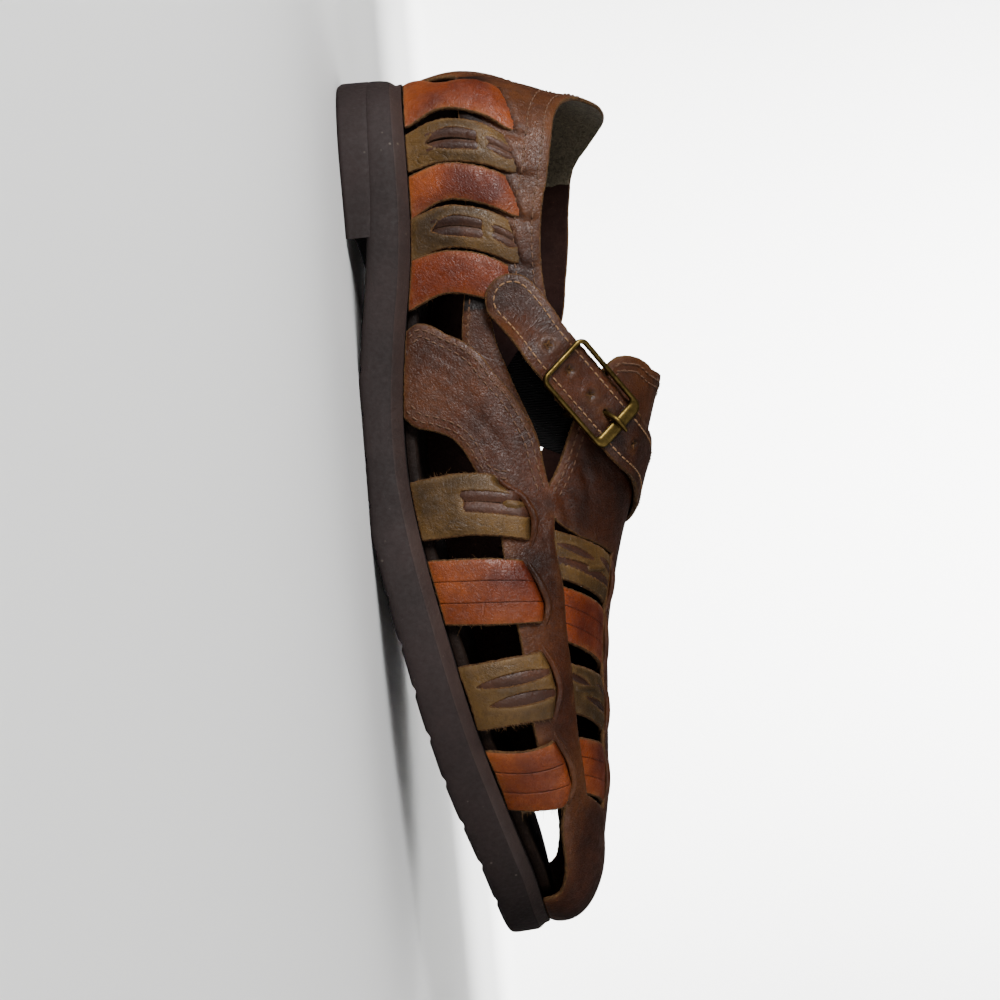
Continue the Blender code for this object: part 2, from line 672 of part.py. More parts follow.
def upper_mesh():
    pieces = upper_pieces()
    plan = []
    outlines = []
    for _, _, outline in pieces:
        dense = densified(outline)
        outlines.append(list(range(len(plan), len(plan) + len(dense))))
        plan.extend(dense)
    plan.extend(inner_points())
    flat = stretched(plan)
    outlines = [ids if signed_area(flat[ids]) > 0 else ids[::-1] for ids in outlines]
    verts, _, faces, _, _, owners = delaunay_2d_cdt([tuple(p) for p in flat], [], outlines, 1, 0.02, True)
    q = unstretched(np.array([tuple(v) for v in verts]))
    base = last_point(q)
    normal = last_normal(q)
    rise = rise_at(q)
    covered = [(face, own) for face, own in zip(faces, owners) if own]
    faces = [face for face, _ in covered]
    kinds = [frozenset(pieces[i][1] for i in own) for _, own in covered]

    bare = [set() for _ in verts]
    for face, kind in zip(faces, kinds):
        for v in face:
            bare[v].add("panel" in kind)
    columns = [set() for _ in verts]
    spans = []
    for face, kind in zip(faces, kinds):
        span = {v: tuple(round(k, 3) for k in layer(kind, rise[v], len(bare[v]) > 1)) for v in face}
        spans.append(span)
        for v in face:
            columns[v].update(span[v])
    index = {}
    points = []
    for v, levels in enumerate(columns):
        for level in sorted(levels):
            index[v, level] = len(points)
            points.append(base[v] + normal[v] * level)

    solid = []
    beside = {}
    for n, face in enumerate(faces):
        a, b, c = face
        span = spans[n]
        solid.append([index[v, span[v][1]] for v in (a, b, c)])
        solid.append([index[v, span[v][0]] for v in (c, b, a)])
        for p, r in ((a, b), (b, c), (c, a)):
            beside[p, r] = n

    def wall(p, r, low_p, high_p, low_r, high_r):
        """A strip between two columns, through every level that either has."""
        left = [index[p, k] for k in sorted(columns[p]) if low_p <= k <= high_p]
        right = [index[r, k] for k in sorted(columns[r]) if low_r <= k <= high_r]
        i = j = 0
        while i < len(left) - 1 or j < len(right) - 1:
            if j == len(right) - 1 or (i < len(left) - 1 and (i + 1) / len(left) <= (j + 1) / len(right)):
                solid.append([left[i], right[j], left[i + 1]])
                i += 1
            else:
                solid.append([left[i], right[j], right[j + 1]])
                j += 1

    for (p, r), n in beside.items():
        mine = spans[n]
        other = beside.get((r, p))
        if other is None:
            wall(p, r, mine[p][0], mine[p][1], mine[r][0], mine[r][1])
            continue
        theirs = spans[other]
        if mine[p][1] > theirs[p][1] or mine[r][1] > theirs[r][1]:
            wall(p, r, theirs[p][1], mine[p][1], theirs[r][1], mine[r][1])
        if mine[p][0] < theirs[p][0] or mine[r][0] < theirs[r][0]:
            wall(p, r, mine[p][0], theirs[p][0], mine[r][0], theirs[r][0])
    return points, solid


# ---------------------------------------------------------------- sole, heel and insole

def outline_ring(outward_by, count=88):
    """A ring in plan, this far outside the feather line, from the heel's back along the lateral side."""
    half = count // 2
    share = np.linspace(0, 1, half + 1)
    ease = share - 0.12 * np.sin(2 * math.pi * share) / (2 * math.pi) * 2
    u = np.concatenate([ease * TOE_STATION, TOE_STATION + (GIRTH - TOE_STATION) * ease[1:-1]])
    along = feather_point(u + 1.0) - feather_point(u - 1.0)
    normal = np.stack([along[:, 1], -along[:, 0]], -1)
    normal = normal / np.linalg.norm(normal, axis=1)[:, None]
    ring = feather_point(u)
    toe = np.clip((ring[:, 0] - 250) / 33, 0, 1) ** 2
    heel = np.clip((20 - ring[:, 0]) / 15, 0, 1) ** 2
    trim = (toe * TOE_TRIM + heel * HEEL_TRIM) * (outward_by > 3)
    return ring + normal * (outward_by - trim)[:, None]


def tread_height(x):
    """Height of the sole's underside. The ball of the foot rests on the floor."""
    return np.maximum(smooth(x, SOLE_TREAD, "z"), 0)


def seat_height(x):
    """Height of the sole's top: just below the upper's foot, a little more round the toe."""
    return feather_height(x) - SEAT_GAP - SEAT_TOE_GAP * np.clip((x - 262) / 14, 0, 1)


def sole_rings():
    rings = []
    for name, out, drop, from_tread in SOLE_STEPS:
        ring = outline_ring(out)
        x = ring[:, 0]
        z = tread_height(x) + drop if from_tread else seat_height(x) - drop
        rings.append(np.column_stack([ring, z]))
    return rings


def make_sole(finish):
    sole = ring_solid("outsole", sole_rings(), finish)
    boxes = []
    for n in range(FOREFOOT_GROOVES):
        x = FOREFOOT_GROOVES_FROM + n * LUG_PITCH
        z = float(tread_height(x))
        slope = math.atan2(float(tread_height(x + 2) - tread_height(x - 2)), 4)
        boxes.append(box_points((LUG_GROOVE, 160, 2 * LUG_DEPTH), (x, 0, z), -slope))
    cut_grooves(sole, boxes, "forefoot_grooves", finish)
    return sole


def cut_grooves(obj, boxes, name, finish):
    faces = [tuple(8 * n + k for k in face) for n in range(len(boxes)) for face in BOX_FACES]
    cutter = add_object(name, np.vstack(boxes), faces, finish)
    outward(cutter)
    boolean(obj, cutter, "DIFFERENCE")


def make_heel(finish):
    """The heel lift: it follows the sole's outline and ends at a hollow breast."""
    ring = outline_ring(SOLE_STEPS[3][1], 176)
    keep = ring[:, 0] <= HEEL_BREAST_X
    lat = ring[keep & (ring[:, 1] <= 0)]
    med = ring[keep & (ring[:, 1] > 0)]
    lat = lat[np.argsort(lat[:, 0])]
    med = med[np.argsort(-med[:, 0])]
    reach = abs(lat[-1, 1])
    breast = []
    for y in np.linspace(-reach, med[0, 1], 9)[1:-1]:
        sag = HEEL_BREAST_SAG * (1 - (y / reach) ** 2)
        breast.append((HEEL_BREAST_X - sag + HEEL_BREAST_SLANT * (y + reach) / (2 * reach), y))
    plan = np.vstack([lat, breast, med])
    centre = np.array((28.0, 0.0))
    top = tread_height(plan[:, 0]) - GAP
    inset = plan + (centre - plan) * 0.035
    count = len(plan)
    rear = np.clip((6 - plan[:, 0]) / 8, 0, 1) * HEEL_REAR_BEVEL
    levels = (
        np.column_stack([plan, top]),
        np.column_stack([plan, rear + 1.2]),
        np.column_stack([inset, 0 * top]),
    )
    middle_top = float(tread_height(centre[0])) - GAP
    points = np.vstack([*levels, [(*centre, middle_top)], [(*centre, 0)]])
    faces = []
    for r in range(2):
        for i in range(count):
            j = (i + 1) % count
            faces.append((r * count + i, r * count + j, (r + 1) * count + j, (r + 1) * count + i))
    for i in range(count):
        j = (i + 1) % count
        faces.append((i, j, 3 * count))
        faces.append((2 * count + i, 2 * count + j, 3 * count + 1))
    heel = add_object("heel", points, faces, finish)
    outward(heel)
    boxes = [box_points((LUG_GROOVE, 100, 3.0), (x, 0, 0)) for x in HEEL_GROOVES]
    cut_grooves(heel, boxes, "heel_grooves", finish)
    return heel


def make_insole(finish):
    rings = []
    for out, lift in INSOLE_STEPS:
        ring = outline_ring(out, 72)
        rings.append(np.column_stack([ring, seat_height(ring[:, 0]) + lift]))
    return ring_solid("insole", rings[::-1], finish)


# ---------------------------------------------------------------- instep strap and buckle

STRAP_PATH = (
    # place, lift of the strap's middle above the last
    (lateral(88.5, 26.5), 5.6),
    (lateral(98, 35), 6.2),
    (lateral(114, 47), 9.0),
    (lateral(125.5, 54.5), 9.8),
    (lateral(137, 66.5), 7.8),
    (lateral(146, 78.5), 5.4),
    (lateral(152, 90), 4.1),
    (below_ridge_medial(157, 4), 3.9),
    (below_ridge_medial(161, 16), 3.9),
    (below_ridge_medial(164, 28), 3.9),
    (below_ridge_medial(166, 38), 3.8),
)
BUCKLE_ROW = 3


def unit(v):
    return v / np.linalg.norm(v)


def strap_frames():
    """The strap's middle line: points with direction, normal and across direction, the distance along it,
    the distance at which the buckle's middle lies, and the buckle's own frame."""
    q = np.array([place for place, _ in STRAP_PATH])
    lift = np.array([h for _, h in STRAP_PATH])
    normal = last_normal(q)
    knots = last_point(q) + normal * lift[:, None]
    along = unit(knots[BUCKLE_ROW + 1] - knots[BUCKLE_ROW - 1])
    middle = knots[BUCKLE_ROW]
    flat = unit(normal[BUCKLE_ROW] - along * (normal[BUCKLE_ROW] @ along))
    straight = np.array([-1, -0.55, 0, 0.55, 1]) * (BUCKLE_LONG / 2 + 3)
    zone = middle + straight[:, None] * along
    knots = np.vstack([knots[:BUCKLE_ROW - 1], zone, knots[BUCKLE_ROW + 2:]])
    normal = np.vstack([normal[:BUCKLE_ROW - 1], [flat] * len(zone), normal[BUCKLE_ROW + 2:]])
    steps = np.concatenate([[0], np.cumsum(np.linalg.norm(np.diff(knots, axis=0), axis=1))])
    s = np.unique(np.concatenate([np.linspace(0, steps[-1], 34), steps]))
    points = np.stack([hermite(s, steps, knots[:, k]) for k in range(3)], -1)
    normals = np.stack([hermite(s, steps, normal[:, k]) for k in range(3)], -1)
    directions = np.stack([np.gradient(points[:, k], s) for k in range(3)], -1)
    frames = []
    for p, d, n in zip(points, directions, normals):
        d = unit(d)
        n = unit(n - d * (n @ d))
        frames.append((p, d, n, np.cross(n, d)))
    return frames, s, steps[BUCKLE_ROW + 1], (middle, along, flat, np.cross(flat, along))


def swept_strip(name, frames, widths, thick, finish, bend=150.0):
    """A strip of leather along the frames, slightly bowed across to lie on the last."""
    across = np.linspace(-0.5, 0.5, 5)
    points = []
    for (p, d, n, b), width in zip(frames, widths):
        for side in (1, -1):
            for k in (across if side > 0 else across[::-1]):
                sag = (k * width) ** 2 / (2 * bend)
                points.append(p + b * k * width + n * (side * thick / 2 - sag))
    ring = 2 * len(across)
    faces = []
    for r in range(len(frames) - 1):
        for i in range(ring):
            j = (i + 1) % ring
            faces.append((r * ring + i, r * ring + j, (r + 1) * ring + j, (r + 1) * ring + i))
    for r in (0, len(frames) - 1):
        for i in range(len(across) - 1):
            faces.append([r * ring + k for k in (i, i + 1, ring - i - 2, ring - i - 1)])
    made = add_object(name, points, faces, finish)
    outward(made)
    return made


def buckle_point(frame, along, across, up):
    middle, a, n, b = frame
    return middle + a * along + b * across + n * up


def prism(name, outline, low, high, frame, finish, swap=False):
    """A prism in the buckle's own frame: its outline is (along, across), or (along, up) when swapped."""
    count = len(outline)
    points = []
    for level in (low, high):
        for x, y in outline:
            points.append(buckle_point(frame, x, level, y) if swap else buckle_point(frame, x, y, level))
    faces = [tuple(range(count)), tuple(range(2 * count - 1, count - 1, -1))]
    faces += [(i, (i + 1) % count, count + (i + 1) % count, count + i) for i in range(count)]
    made = add_object(name, points, faces, finish)
    outward(made)
    return made


def round_rectangle(x0, x1, y0, y1, radius, steps=4):
    outline = []
    for cx, cy, start in (
        (x1 - radius, y1 - radius, 0), (x0 + radius, y1 - radius, 90),
        (x0 + radius, y0 + radius, 180), (x1 - radius, y0 + radius, 270),
    ):
        for k in range(steps + 1):
            angle = math.radians(start + 90 * k / steps)
            outline.append((cx + radius * math.cos(angle), cy + radius * math.sin(angle)))
    return outline


def make_buckle(frame, finish):
    """The frame lies on the strap at both ends; its middle bar passes under the strap.

    Returns the height of the bar's middle in the buckle's own frame.
    """
    half_long = BUCKLE_LONG / 2
    half_wide = BUCKLE_WIDE / 2
    low = STRAP_THICK / 2 + GAP
    high = low + BUCKLE_BAR_THICK
    outline = round_rectangle(-half_long, half_long, -half_wide, half_wide, BUCKLE_CORNER)
    ring = prism("buckle_frame", outline, low, high, frame, finish)
    window = prism("buckle_window", round_rectangle(
        -half_long + BUCKLE_SIDE_BAR, half_long - BUCKLE_FRONT_BAR,
        -half_wide + BUCKLE_SIDE_BAR, half_wide - BUCKLE_SIDE_BAR, BUCKLE_CORNER - BUCKLE_SIDE_BAR),
        low - 2, high + 2, frame, finish)
    boolean(ring, window, "DIFFERENCE")
    top = -STRAP_THICK / 2 - GAP - CHAPE_THICK - GAP - BAR_CORNER + BUCKLE_BAR_THICK / 2
    depth = top - BUCKLE_BAR_THICK
    inner = half_wide - BUCKLE_SIDE_BAR
    side = half_wide - 0.15
    bridge = [
        (-side, high - 0.4), (-side, depth), (side, depth), (side, high - 0.4),
        (inner + 0.15, high - 0.4), (inner + 0.15, top), (-inner - 0.15, top), (-inner - 0.15, high - 0.4),
    ]
    points = []
    for x in (-BUCKLE_BAR_THICK / 2, BUCKLE_BAR_THICK / 2):
        points.extend(buckle_point(frame, x, y, z) for y, z in bridge)
    count = len(bridge)
    quads = ((0, 1, 6, 7), (1, 2, 5, 6), (2, 3, 4, 5))
    faces = list(quads) + [tuple(count + k for k in quad[::-1]) for quad in quads]
    faces += [(i, (i + 1) % count, count + (i + 1) % count, count + i) for i in range(count)]
    bar = add_object("buckle_bar", points, faces, finish)
    outward(bar)
    boolean(ring, bar, "UNION")
    return top - BUCKLE_BAR_THICK / 2


def make_prong(frame, bar_height, finish):
    """The prong turns on the middle bar, comes up through the strap and rests on the front bar."""
    bar_reach = BUCKLE_BAR_THICK / 2 + GAP
    outer = bar_reach + PRONG_THICK
    top = STRAP_THICK / 2 + 2 * GAP + BUCKLE_BAR_THICK
    tip = BUCKLE_LONG / 2 + 0.6
    arm = [
        (bar_reach, bar_height - bar_reach), (outer, bar_height - bar_reach), (outer, bar_height + 0.6),
        (5.9, top), (tip, top), (tip, top + PRONG_THICK * 0.8), (4.6, top + PRONG_THICK),
        (bar_reach, bar_height + outer - 0.2), (-outer, bar_height + outer - 0.2),
        (-outer, bar_height - outer), (outer - 0.4, bar_height - outer),
        (outer - 0.4, bar_height - outer + 1.0),
        (-bar_reach, bar_height - bar_reach), (-bar_reach, bar_height + bar_reach),
        (bar_reach, bar_height + bar_reach),
    ]
    return prism("buckle_prong", arm, -PRONG_THICK / 2, PRONG_THICK / 2, frame, finish, swap=True)


def strap_widths(s):
    """The strap's width along it: its free end is round."""
    radius = STRAP_WIDTH / 2
    share = np.clip((radius - s) / radius, 0, 0.97)
    return STRAP_WIDTH * np.sqrt(1 - share**2)


def make_chape(frames, s, buckle_at, buckle, bar_height, finish):
    """The strip that holds the buckle: from the quarter it runs under the strap and folds round the bar."""
    centre, a, n, b = buckle
    begin, end = CHAPE_BEGIN, buckle_at - BUCKLE_LONG * 0.16
    path = []
    for (p, d, up, across), along in zip(frames, s):
        if begin <= along <= end:
            fall = -STRAP_THICK / 2 - GAP - CHAPE_THICK / 2
            path.append((p + up * fall, d, up, across))
    loop = BAR_CORNER + GAP + CHAPE_THICK / 2
    for degrees in range(90, -181, -30):
        angle = math.radians(degrees)
        radial = a * math.cos(angle) + n * math.sin(angle)
        spot = centre + n * bar_height + radial * loop
        path.append((spot, n * math.cos(angle) * -1 + a * math.sin(angle), radial, b))
    path.append((centre + n * (bar_height - loop) - a * 3, -a, -n, b))
    path.append((centre + n * (bar_height - loop) - a * 6, -a, -n, b))
    path = [row for k, row in enumerate(path) if k != len(path) - 3]
    chape = swept_strip("buckle_chape", path, [CHAPE_WIDTH] * len(path), CHAPE_THICK, finish, 1e5)
    reach = BUCKLE_BAR_THICK / 2 + GAP + PRONG_THICK + 1.2
    outline = round_rectangle(-reach, 12, -PRONG_HOLE / 2, PRONG_HOLE / 2, 0.4)
    slot = prism("chape_slot", outline, -9, 0.5, buckle, finish)
    boolean(chape, slot, "DIFFERENCE")


def main():
    for old in list(bpy.data.objects):
        bpy.data.objects.remove(old, do_unlink=True)
    brown = material("brown_leather", (0.075, 0.033, 0.021), 0.45)
    suede = material("insole_leather", (0.055, 0.026, 0.02), 0.6)
    rubber = material("dark_rubber", (0.036, 0.026, 0.024), 0.75)
    brass = material("antique_brass", (0.34, 0.25, 0.09), 0.38, 1.0)

    points, faces = upper_mesh()
    add_object("upper", points, faces, brown)
    make_sole(rubber)
    make_heel(rubber)
    make_insole(suede)

    frames, s, buckle_at, buckle = strap_frames()
    strap = swept_strip("instep_strap", frames, strap_widths(s), STRAP_THICK, brown)
    outline = round_rectangle(*PRONG_SLOT, -PRONG_HOLE / 2, PRONG_HOLE / 2, 0.4)
    hole = prism("strap_hole", outline, -5, 5, buckle, brown)
    boolean(strap, hole, "DIFFERENCE")
    bar_height = make_buckle(buckle, brass)
    make_prong(buckle, bar_height, brass)
    make_chape(frames, s, buckle_at, buckle, bar_height, brown)


main()
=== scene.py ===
"""Visual model of the fisherman sandal, a right shoe: leather, stitching, laced strips, buckle and sole.

Lengths are in millimetres in the shoe's own sizes and become metres when a mesh is made.  +X runs to the
toe, +Z is up and the lateral side is at -Y.  A place on the last has a station, the distance along the
feather line from the heel's back, and a rise, the distance up the last from that line.
"""

import math

import bmesh
import bpy
import numpy as np
from mathutils import Matrix, Vector
from mathutils.bvhtree import BVHTree
from mathutils.geometry import delaunay_2d_cdt
from mathutils.kdtree import KDTree


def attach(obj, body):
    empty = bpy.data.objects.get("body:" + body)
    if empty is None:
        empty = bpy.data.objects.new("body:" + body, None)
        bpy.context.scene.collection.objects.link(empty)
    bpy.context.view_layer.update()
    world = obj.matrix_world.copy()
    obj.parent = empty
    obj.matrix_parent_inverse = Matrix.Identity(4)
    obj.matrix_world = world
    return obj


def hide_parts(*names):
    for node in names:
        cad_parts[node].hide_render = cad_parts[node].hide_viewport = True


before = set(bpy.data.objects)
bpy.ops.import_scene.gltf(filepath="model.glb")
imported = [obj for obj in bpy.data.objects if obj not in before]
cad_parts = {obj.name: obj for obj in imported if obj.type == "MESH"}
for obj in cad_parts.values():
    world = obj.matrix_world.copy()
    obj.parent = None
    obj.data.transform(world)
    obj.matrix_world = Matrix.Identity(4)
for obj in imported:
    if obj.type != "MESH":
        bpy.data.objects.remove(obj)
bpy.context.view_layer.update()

MM = 0.001
ORIGIN = np.array((144.7, -0.5, 0.0))

# ---------------------------------------------------------------- the last

FEATHER = np.array([
    # x, y
    (4.5, 0), (9.5, -17.5), (25, -28), (50, -31), (85, -32.5), (120, -36), (155, -42), (190, -47.5),
    (215, -47.5), (240, -41.5), (261, -30.5), (277, -14), (283.5, 4), (278.5, 19), (263.5, 32), (243, 42),
    (218, 47), (190, 44), (160, 36.5), (130, 30), (100, 28), (70, 29), (45, 30.5), (25, 28), (9.5, 17.5),
], float)
TOE_ROW = 12
HEEL_CENTRE_X = 38.0
TOE_CENTRE_X = 258.0
FEATHER_HEIGHT = dict(
    x=(0, 40, 55, 70, 88, 115, 132, 153, 181, 219, 240, 270, 290),
    z=(21.5, 21.5, 21, 19.5, 16.5, 13.4, 13.2, 15.5, 20.6, 28.8, 34.5, 42.0, 45.5),
)
RIDGE = dict(
    x=(38, 70, 95, 110, 125, 140, 160, 175, 190, 210, 230, 245, 258),
    y=(0, 0, 2, 4, 5.5, 7, 8.5, 9, 9, 8.5, 8, 7, 6),
    z=(110, 108, 101, 94.5, 89.5, 84.5, 77.5, 73.5, 70, 68, 66, 64.5, 62),
)
SQUARENESS = dict(
    x=(38, 70, 100, 130, 160, 190, 230, 258),
    lateral=(3.4, 3.2, 2.9, 2.6, 2.35, 2.25, 2.25, 2.3),
    medial=(3.4, 3.2, 2.9, 2.6, 2.5, 2.5, 2.5, 2.4),
)
SWELL = dict(
    x=(0, 25, 60, 100, 150, 258), out=(4.5, 2.4, 1.5, 1.5, 1.5, 1.0), end=(0.5, 0.6, 0.8, 0.8, 0.8, 0.8),
)
LEAN = dict(x=(4.5, 10, 25, 50, 70), forward=(10.5, 8, 3, 0, 0))
LEAN_POWER = 0.9
PLAN_STRETCH = 2.4
END_STRETCH = 1.6
FEATHER_STEPS = 1601
FINE_SHARES = 90
GRID_SIZE = (721, 141)


def unit(v):
    return v / np.linalg.norm(v, axis=-1, keepdims=True)


def steps_of(points):
    return np.linalg.norm(np.diff(points, axis=0), axis=1)


def distances(points):
    """The distance along a line of points of each."""
    return np.concatenate([[0], np.cumsum(steps_of(points))])


def smooth(x, table, column):
    """The named column of a table at x, on a smooth curve through its rows."""
    return hermite(x, table["x"], table[column])


def hermite(x, xs, ys):
    """A smooth curve through the points xs, ys at x, held level past both ends."""
    xs = np.asarray(xs, float)
    ys = np.asarray(ys, float)
    step = np.diff(xs)
    rise = np.diff(ys) / step
    slope = np.empty_like(ys)
    slope[0] = rise[0]
    slope[-1] = rise[-1]
    slope[1:-1] = (step[1:] * rise[:-1] + step[:-1] * rise[1:]) / (step[1:] + step[:-1])
    x = np.clip(np.asarray(x, float), xs[0], xs[-1])
    i = np.clip(np.searchsorted(xs, x, side="right") - 1, 0, len(xs) - 2)
    t = (x - xs[i]) / step[i]
    return (
        (2 * t**3 - 3 * t**2 + 1) * ys[i] + (t**3 - 2 * t**2 + t) * step[i] * slope[i]
        + (3 * t**2 - 2 * t**3) * ys[i + 1] + (t**3 - t**2) * step[i] * slope[i + 1]
    )


def curve_at(s, along, rows):
    """Points at distances s of the smooth curve that passes each row at its distance along."""
    return np.stack([hermite(s, along, column) for column in np.transpose(rows)], -1)


def closed_curve(points, count):
    """Points of a smooth closed curve, with the distance along it of each, and of each given point."""
    loop = np.vstack([points, points[:1]])
    along = distances(loop)
    total = along[-1]
    more = 3
    knots = np.concatenate([along[-1 - more:-1] - total, along, along[1:1 + more] + total])
    rows = np.concatenate([loop[-1 - more:-1], loop, loop[1:1 + more]])
    u = np.linspace(0, total, count)
    return u, curve_at(u, knots, rows), along


STATIONS, FEATHER_LINE, FEATHER_ROWS = closed_curve(FEATHER, FEATHER_STEPS)
GIRTH = STATIONS[-1]
TOE_STATION = FEATHER_ROWS[TOE_ROW]


def feather_point(u):
    u = np.mod(u, GIRTH)
    return np.stack([np.interp(u, STATIONS, FEATHER_LINE[:, k]) for k in (0, 1)], -1)


def feather_height(x):
    return smooth(x, FEATHER_HEIGHT, "z")


def station_centre(x):
    """The middle of the last that a station's section runs to: it fans round the heel and the toe."""
    x = np.clip(x, HEEL_CENTRE_X, TOE_CENTRE_X)
    return np.stack([x, smooth(x, RIDGE, "y")], -1)


def section(u, t):
    """The last's surface at distance u along the feather line, t from 0 there to 1 at the ridge."""
    foot = feather_point(u)
    centre = station_centre(foot[..., 0])
    sides = [smooth(centre[..., 0], SQUARENESS, side) for side in ("lateral", "medial")]
    squareness = np.where(np.mod(u, GIRTH) < TOE_STATION, *sides)
    angle = np.clip(t, 0, 1) * math.pi / 2
    inward = 1 - np.maximum(np.cos(angle), 0) ** (2 / squareness)
    upward = np.sin(angle) ** (2 / squareness)
    base = feather_height(foot[..., 0])
    top = smooth(centre[..., 0], RIDGE, "z")
    out = unit(foot - centre)
    swell_end = smooth(foot[..., 0], SWELL, "end")
    swell = smooth(foot[..., 0], SWELL, "out") * np.sin(np.clip(upward / swell_end, 0, 1) * math.pi)
    lean = smooth(foot[..., 0], LEAN, "forward") * upward**LEAN_POWER
    plan = foot + (centre - foot) * inward[..., None] + out * (swell - lean)[..., None]
    return np.concatenate([plan, (base + (top - base) * upward)[..., None]], -1)


def last_grid(stations, shares):
    """The last's surface and its normals on a fine grid of stations and shares of the half girth."""
    t = np.concatenate([[0], np.geomspace(1e-5, 1, FINE_SHARES)])
    u = np.linspace(0, GIRTH, stations)
    fine = section(u[:, None] + 0 * t, t + 0 * u[:, None])
    rise = np.cumsum(np.linalg.norm(np.diff(fine, axis=1), axis=2), axis=1)
    rise = np.concatenate([np.zeros((stations, 1)), rise], axis=1)
    share = np.linspace(0, 1, shares)
    steps = np.array([np.interp(share * row[-1], row, t) for row in rise])
    points = section(u[:, None] + 0 * steps, steps)
    wrapped = np.concatenate([points[-2:-1], points, points[1:2]])
    along = wrapped[2:] - wrapped[:-2]
    up = np.gradient(points, axis=1)
    normals = np.cross(along, up)
    normals[:, -1] = normals[:, -2]
    normals[:, 0] = normals[:, 1]
    return points, unit(normals), rise[:, -1]


GRID_POINTS, GRID_NORMALS, GRID_HALF = last_grid(*GRID_SIZE)


def from_grid(grid, u, share):
    """The grid's value between its points at distance u and this share of the half girth."""
    rows, columns = grid.shape[:2]
    i = np.mod(u, GIRTH) / GIRTH * (rows - 1)
    j = np.clip(share, 0, 1) * (columns - 1)
    i0 = np.minimum(i.astype(int), rows - 2)
    j0 = np.minimum(j.astype(int), columns - 2)
    a, b = (i - i0)[..., None], (j - j0)[..., None]
    return (
        grid[i0, j0] * (1 - a) * (1 - b) + grid[i0 + 1, j0] * a * (1 - b)
        + grid[i0, j0 + 1] * (1 - a) * b + grid[i0 + 1, j0 + 1] * a * b
    )


def half_girth(u):
    return np.interp(np.mod(u, GIRTH), np.linspace(0, GIRTH, len(GRID_HALF)), GRID_HALF)


def on_plan(u, rise):
    """The place of a station and rise on the flattened plan of the last."""
    foot = feather_point(u)
    centre = station_centre(foot[..., 0])
    return centre + (foot - centre) * (1 - np.asarray(rise) / half_girth(u))[..., None]


def lateral(station, rise):
    return on_plan(np.atleast_1d(np.asarray(station, float)), rise)


def medial(station, rise):
    return on_plan(GIRTH - np.atleast_1d(np.asarray(station, float)), rise)


def below_ridge(station, drop):
    """A place on the lateral side, this far short of the ridge."""
    return lateral(station, half_girth(station) - drop)


def below_ridge_medial(station, drop):
    return medial(station, half_girth(GIRTH - station) - drop)


LATERAL_HALF = STATIONS <= TOE_STATION


def fan(centre_x, sign):
    """Angle about an end's centre, and station, of the feather line's points round that end."""
    half = FEATHER_STEPS // 2
    u = np.concatenate([STATIONS[half:-1] - GIRTH, STATIONS[:half]]) if sign < 0 else STATIONS
    line = feather_point(u)
    near = (line[:, 0] - centre_x) * sign >= -1
    centre = station_centre(np.array(centre_x))
    angle = np.arctan2(line[near, 1] - centre[1], (line[near, 0] - centre[0]) * sign)
    order = np.argsort(angle)
    return angle[order], u[near][order]


TOE_FAN = fan(TOE_CENTRE_X, 1)
HEEL_FAN = fan(HEEL_CENTRE_X, -1)


def from_plan(q):
    """Station and share of the half girth (0 at the feather line, 1 at the ridge) of plan points."""
    centre = station_centre(q[:, 0])
    is_lateral = q[:, 1] < centre[:, 1]
    lat_line = FEATHER_LINE[LATERAL_HALF]
    med_line = FEATHER_LINE[~LATERAL_HALF][::-1]
    u = np.where(
        is_lateral,
        np.interp(q[:, 0], lat_line[:, 0], STATIONS[LATERAL_HALF]),
        np.interp(q[:, 0], med_line[:, 0], STATIONS[~LATERAL_HALF][::-1]),
    )
    for (angles, along), where, sign in (
        (TOE_FAN, q[:, 0] > TOE_CENTRE_X, 1), (HEEL_FAN, q[:, 0] < HEEL_CENTRE_X, -1),
    ):
        angle = np.arctan2(q[:, 1] - centre[:, 1], (q[:, 0] - centre[:, 0]) * sign)
        u = np.where(where, np.interp(angle, angles, along), u)
    reach = np.linalg.norm(feather_point(u) - centre, axis=1)
    return u, np.clip(1 - np.linalg.norm(q - centre, axis=1) / reach, 0, 1)


def last_point(q):
    return from_grid(GRID_POINTS, *from_plan(np.atleast_2d(q)))


def last_normal(q):
    u, share = from_plan(np.atleast_2d(q))
    return unit(from_grid(GRID_NORMALS, u, np.clip(share, 0.01, 0.985)))


def past_centres(x):
    """How far x is past the centre that the toe's sections fan round, or before the heel's (below 0)."""
    return np.maximum(x - TOE_CENTRE_X, 0) + np.minimum(x - HEEL_CENTRE_X, 0)


def stretched(plan):
    """The plan drawn out at the sides and ends, where the last is steep, so that faces keep their shape."""
    x, y = np.transpose(plan)
    return np.column_stack([x + END_STRETCH * past_centres(x), y * PLAN_STRETCH])


def unstretched(flat):
    x, y = np.transpose(flat)
    return np.column_stack([x - END_STRETCH / (1 + END_STRETCH) * past_centres(x), y / PLAN_STRETCH])


# ---------------------------------------------------------------- materials

def colour(r, g, b):
    """A screen colour, 0 to 255, as the linear colour that a shader takes."""
    linear = [(c / 255 / 12.92) if c < 10 else ((c / 255 + 0.055) / 1.055) ** 2.4 for c in (r, g, b)]
    return (*linear, 1.0)


def dimmed(tint, share):
    """A linear colour at this share of its brightness."""
    return tuple(share * c for c in tint[:3]) + (1,)


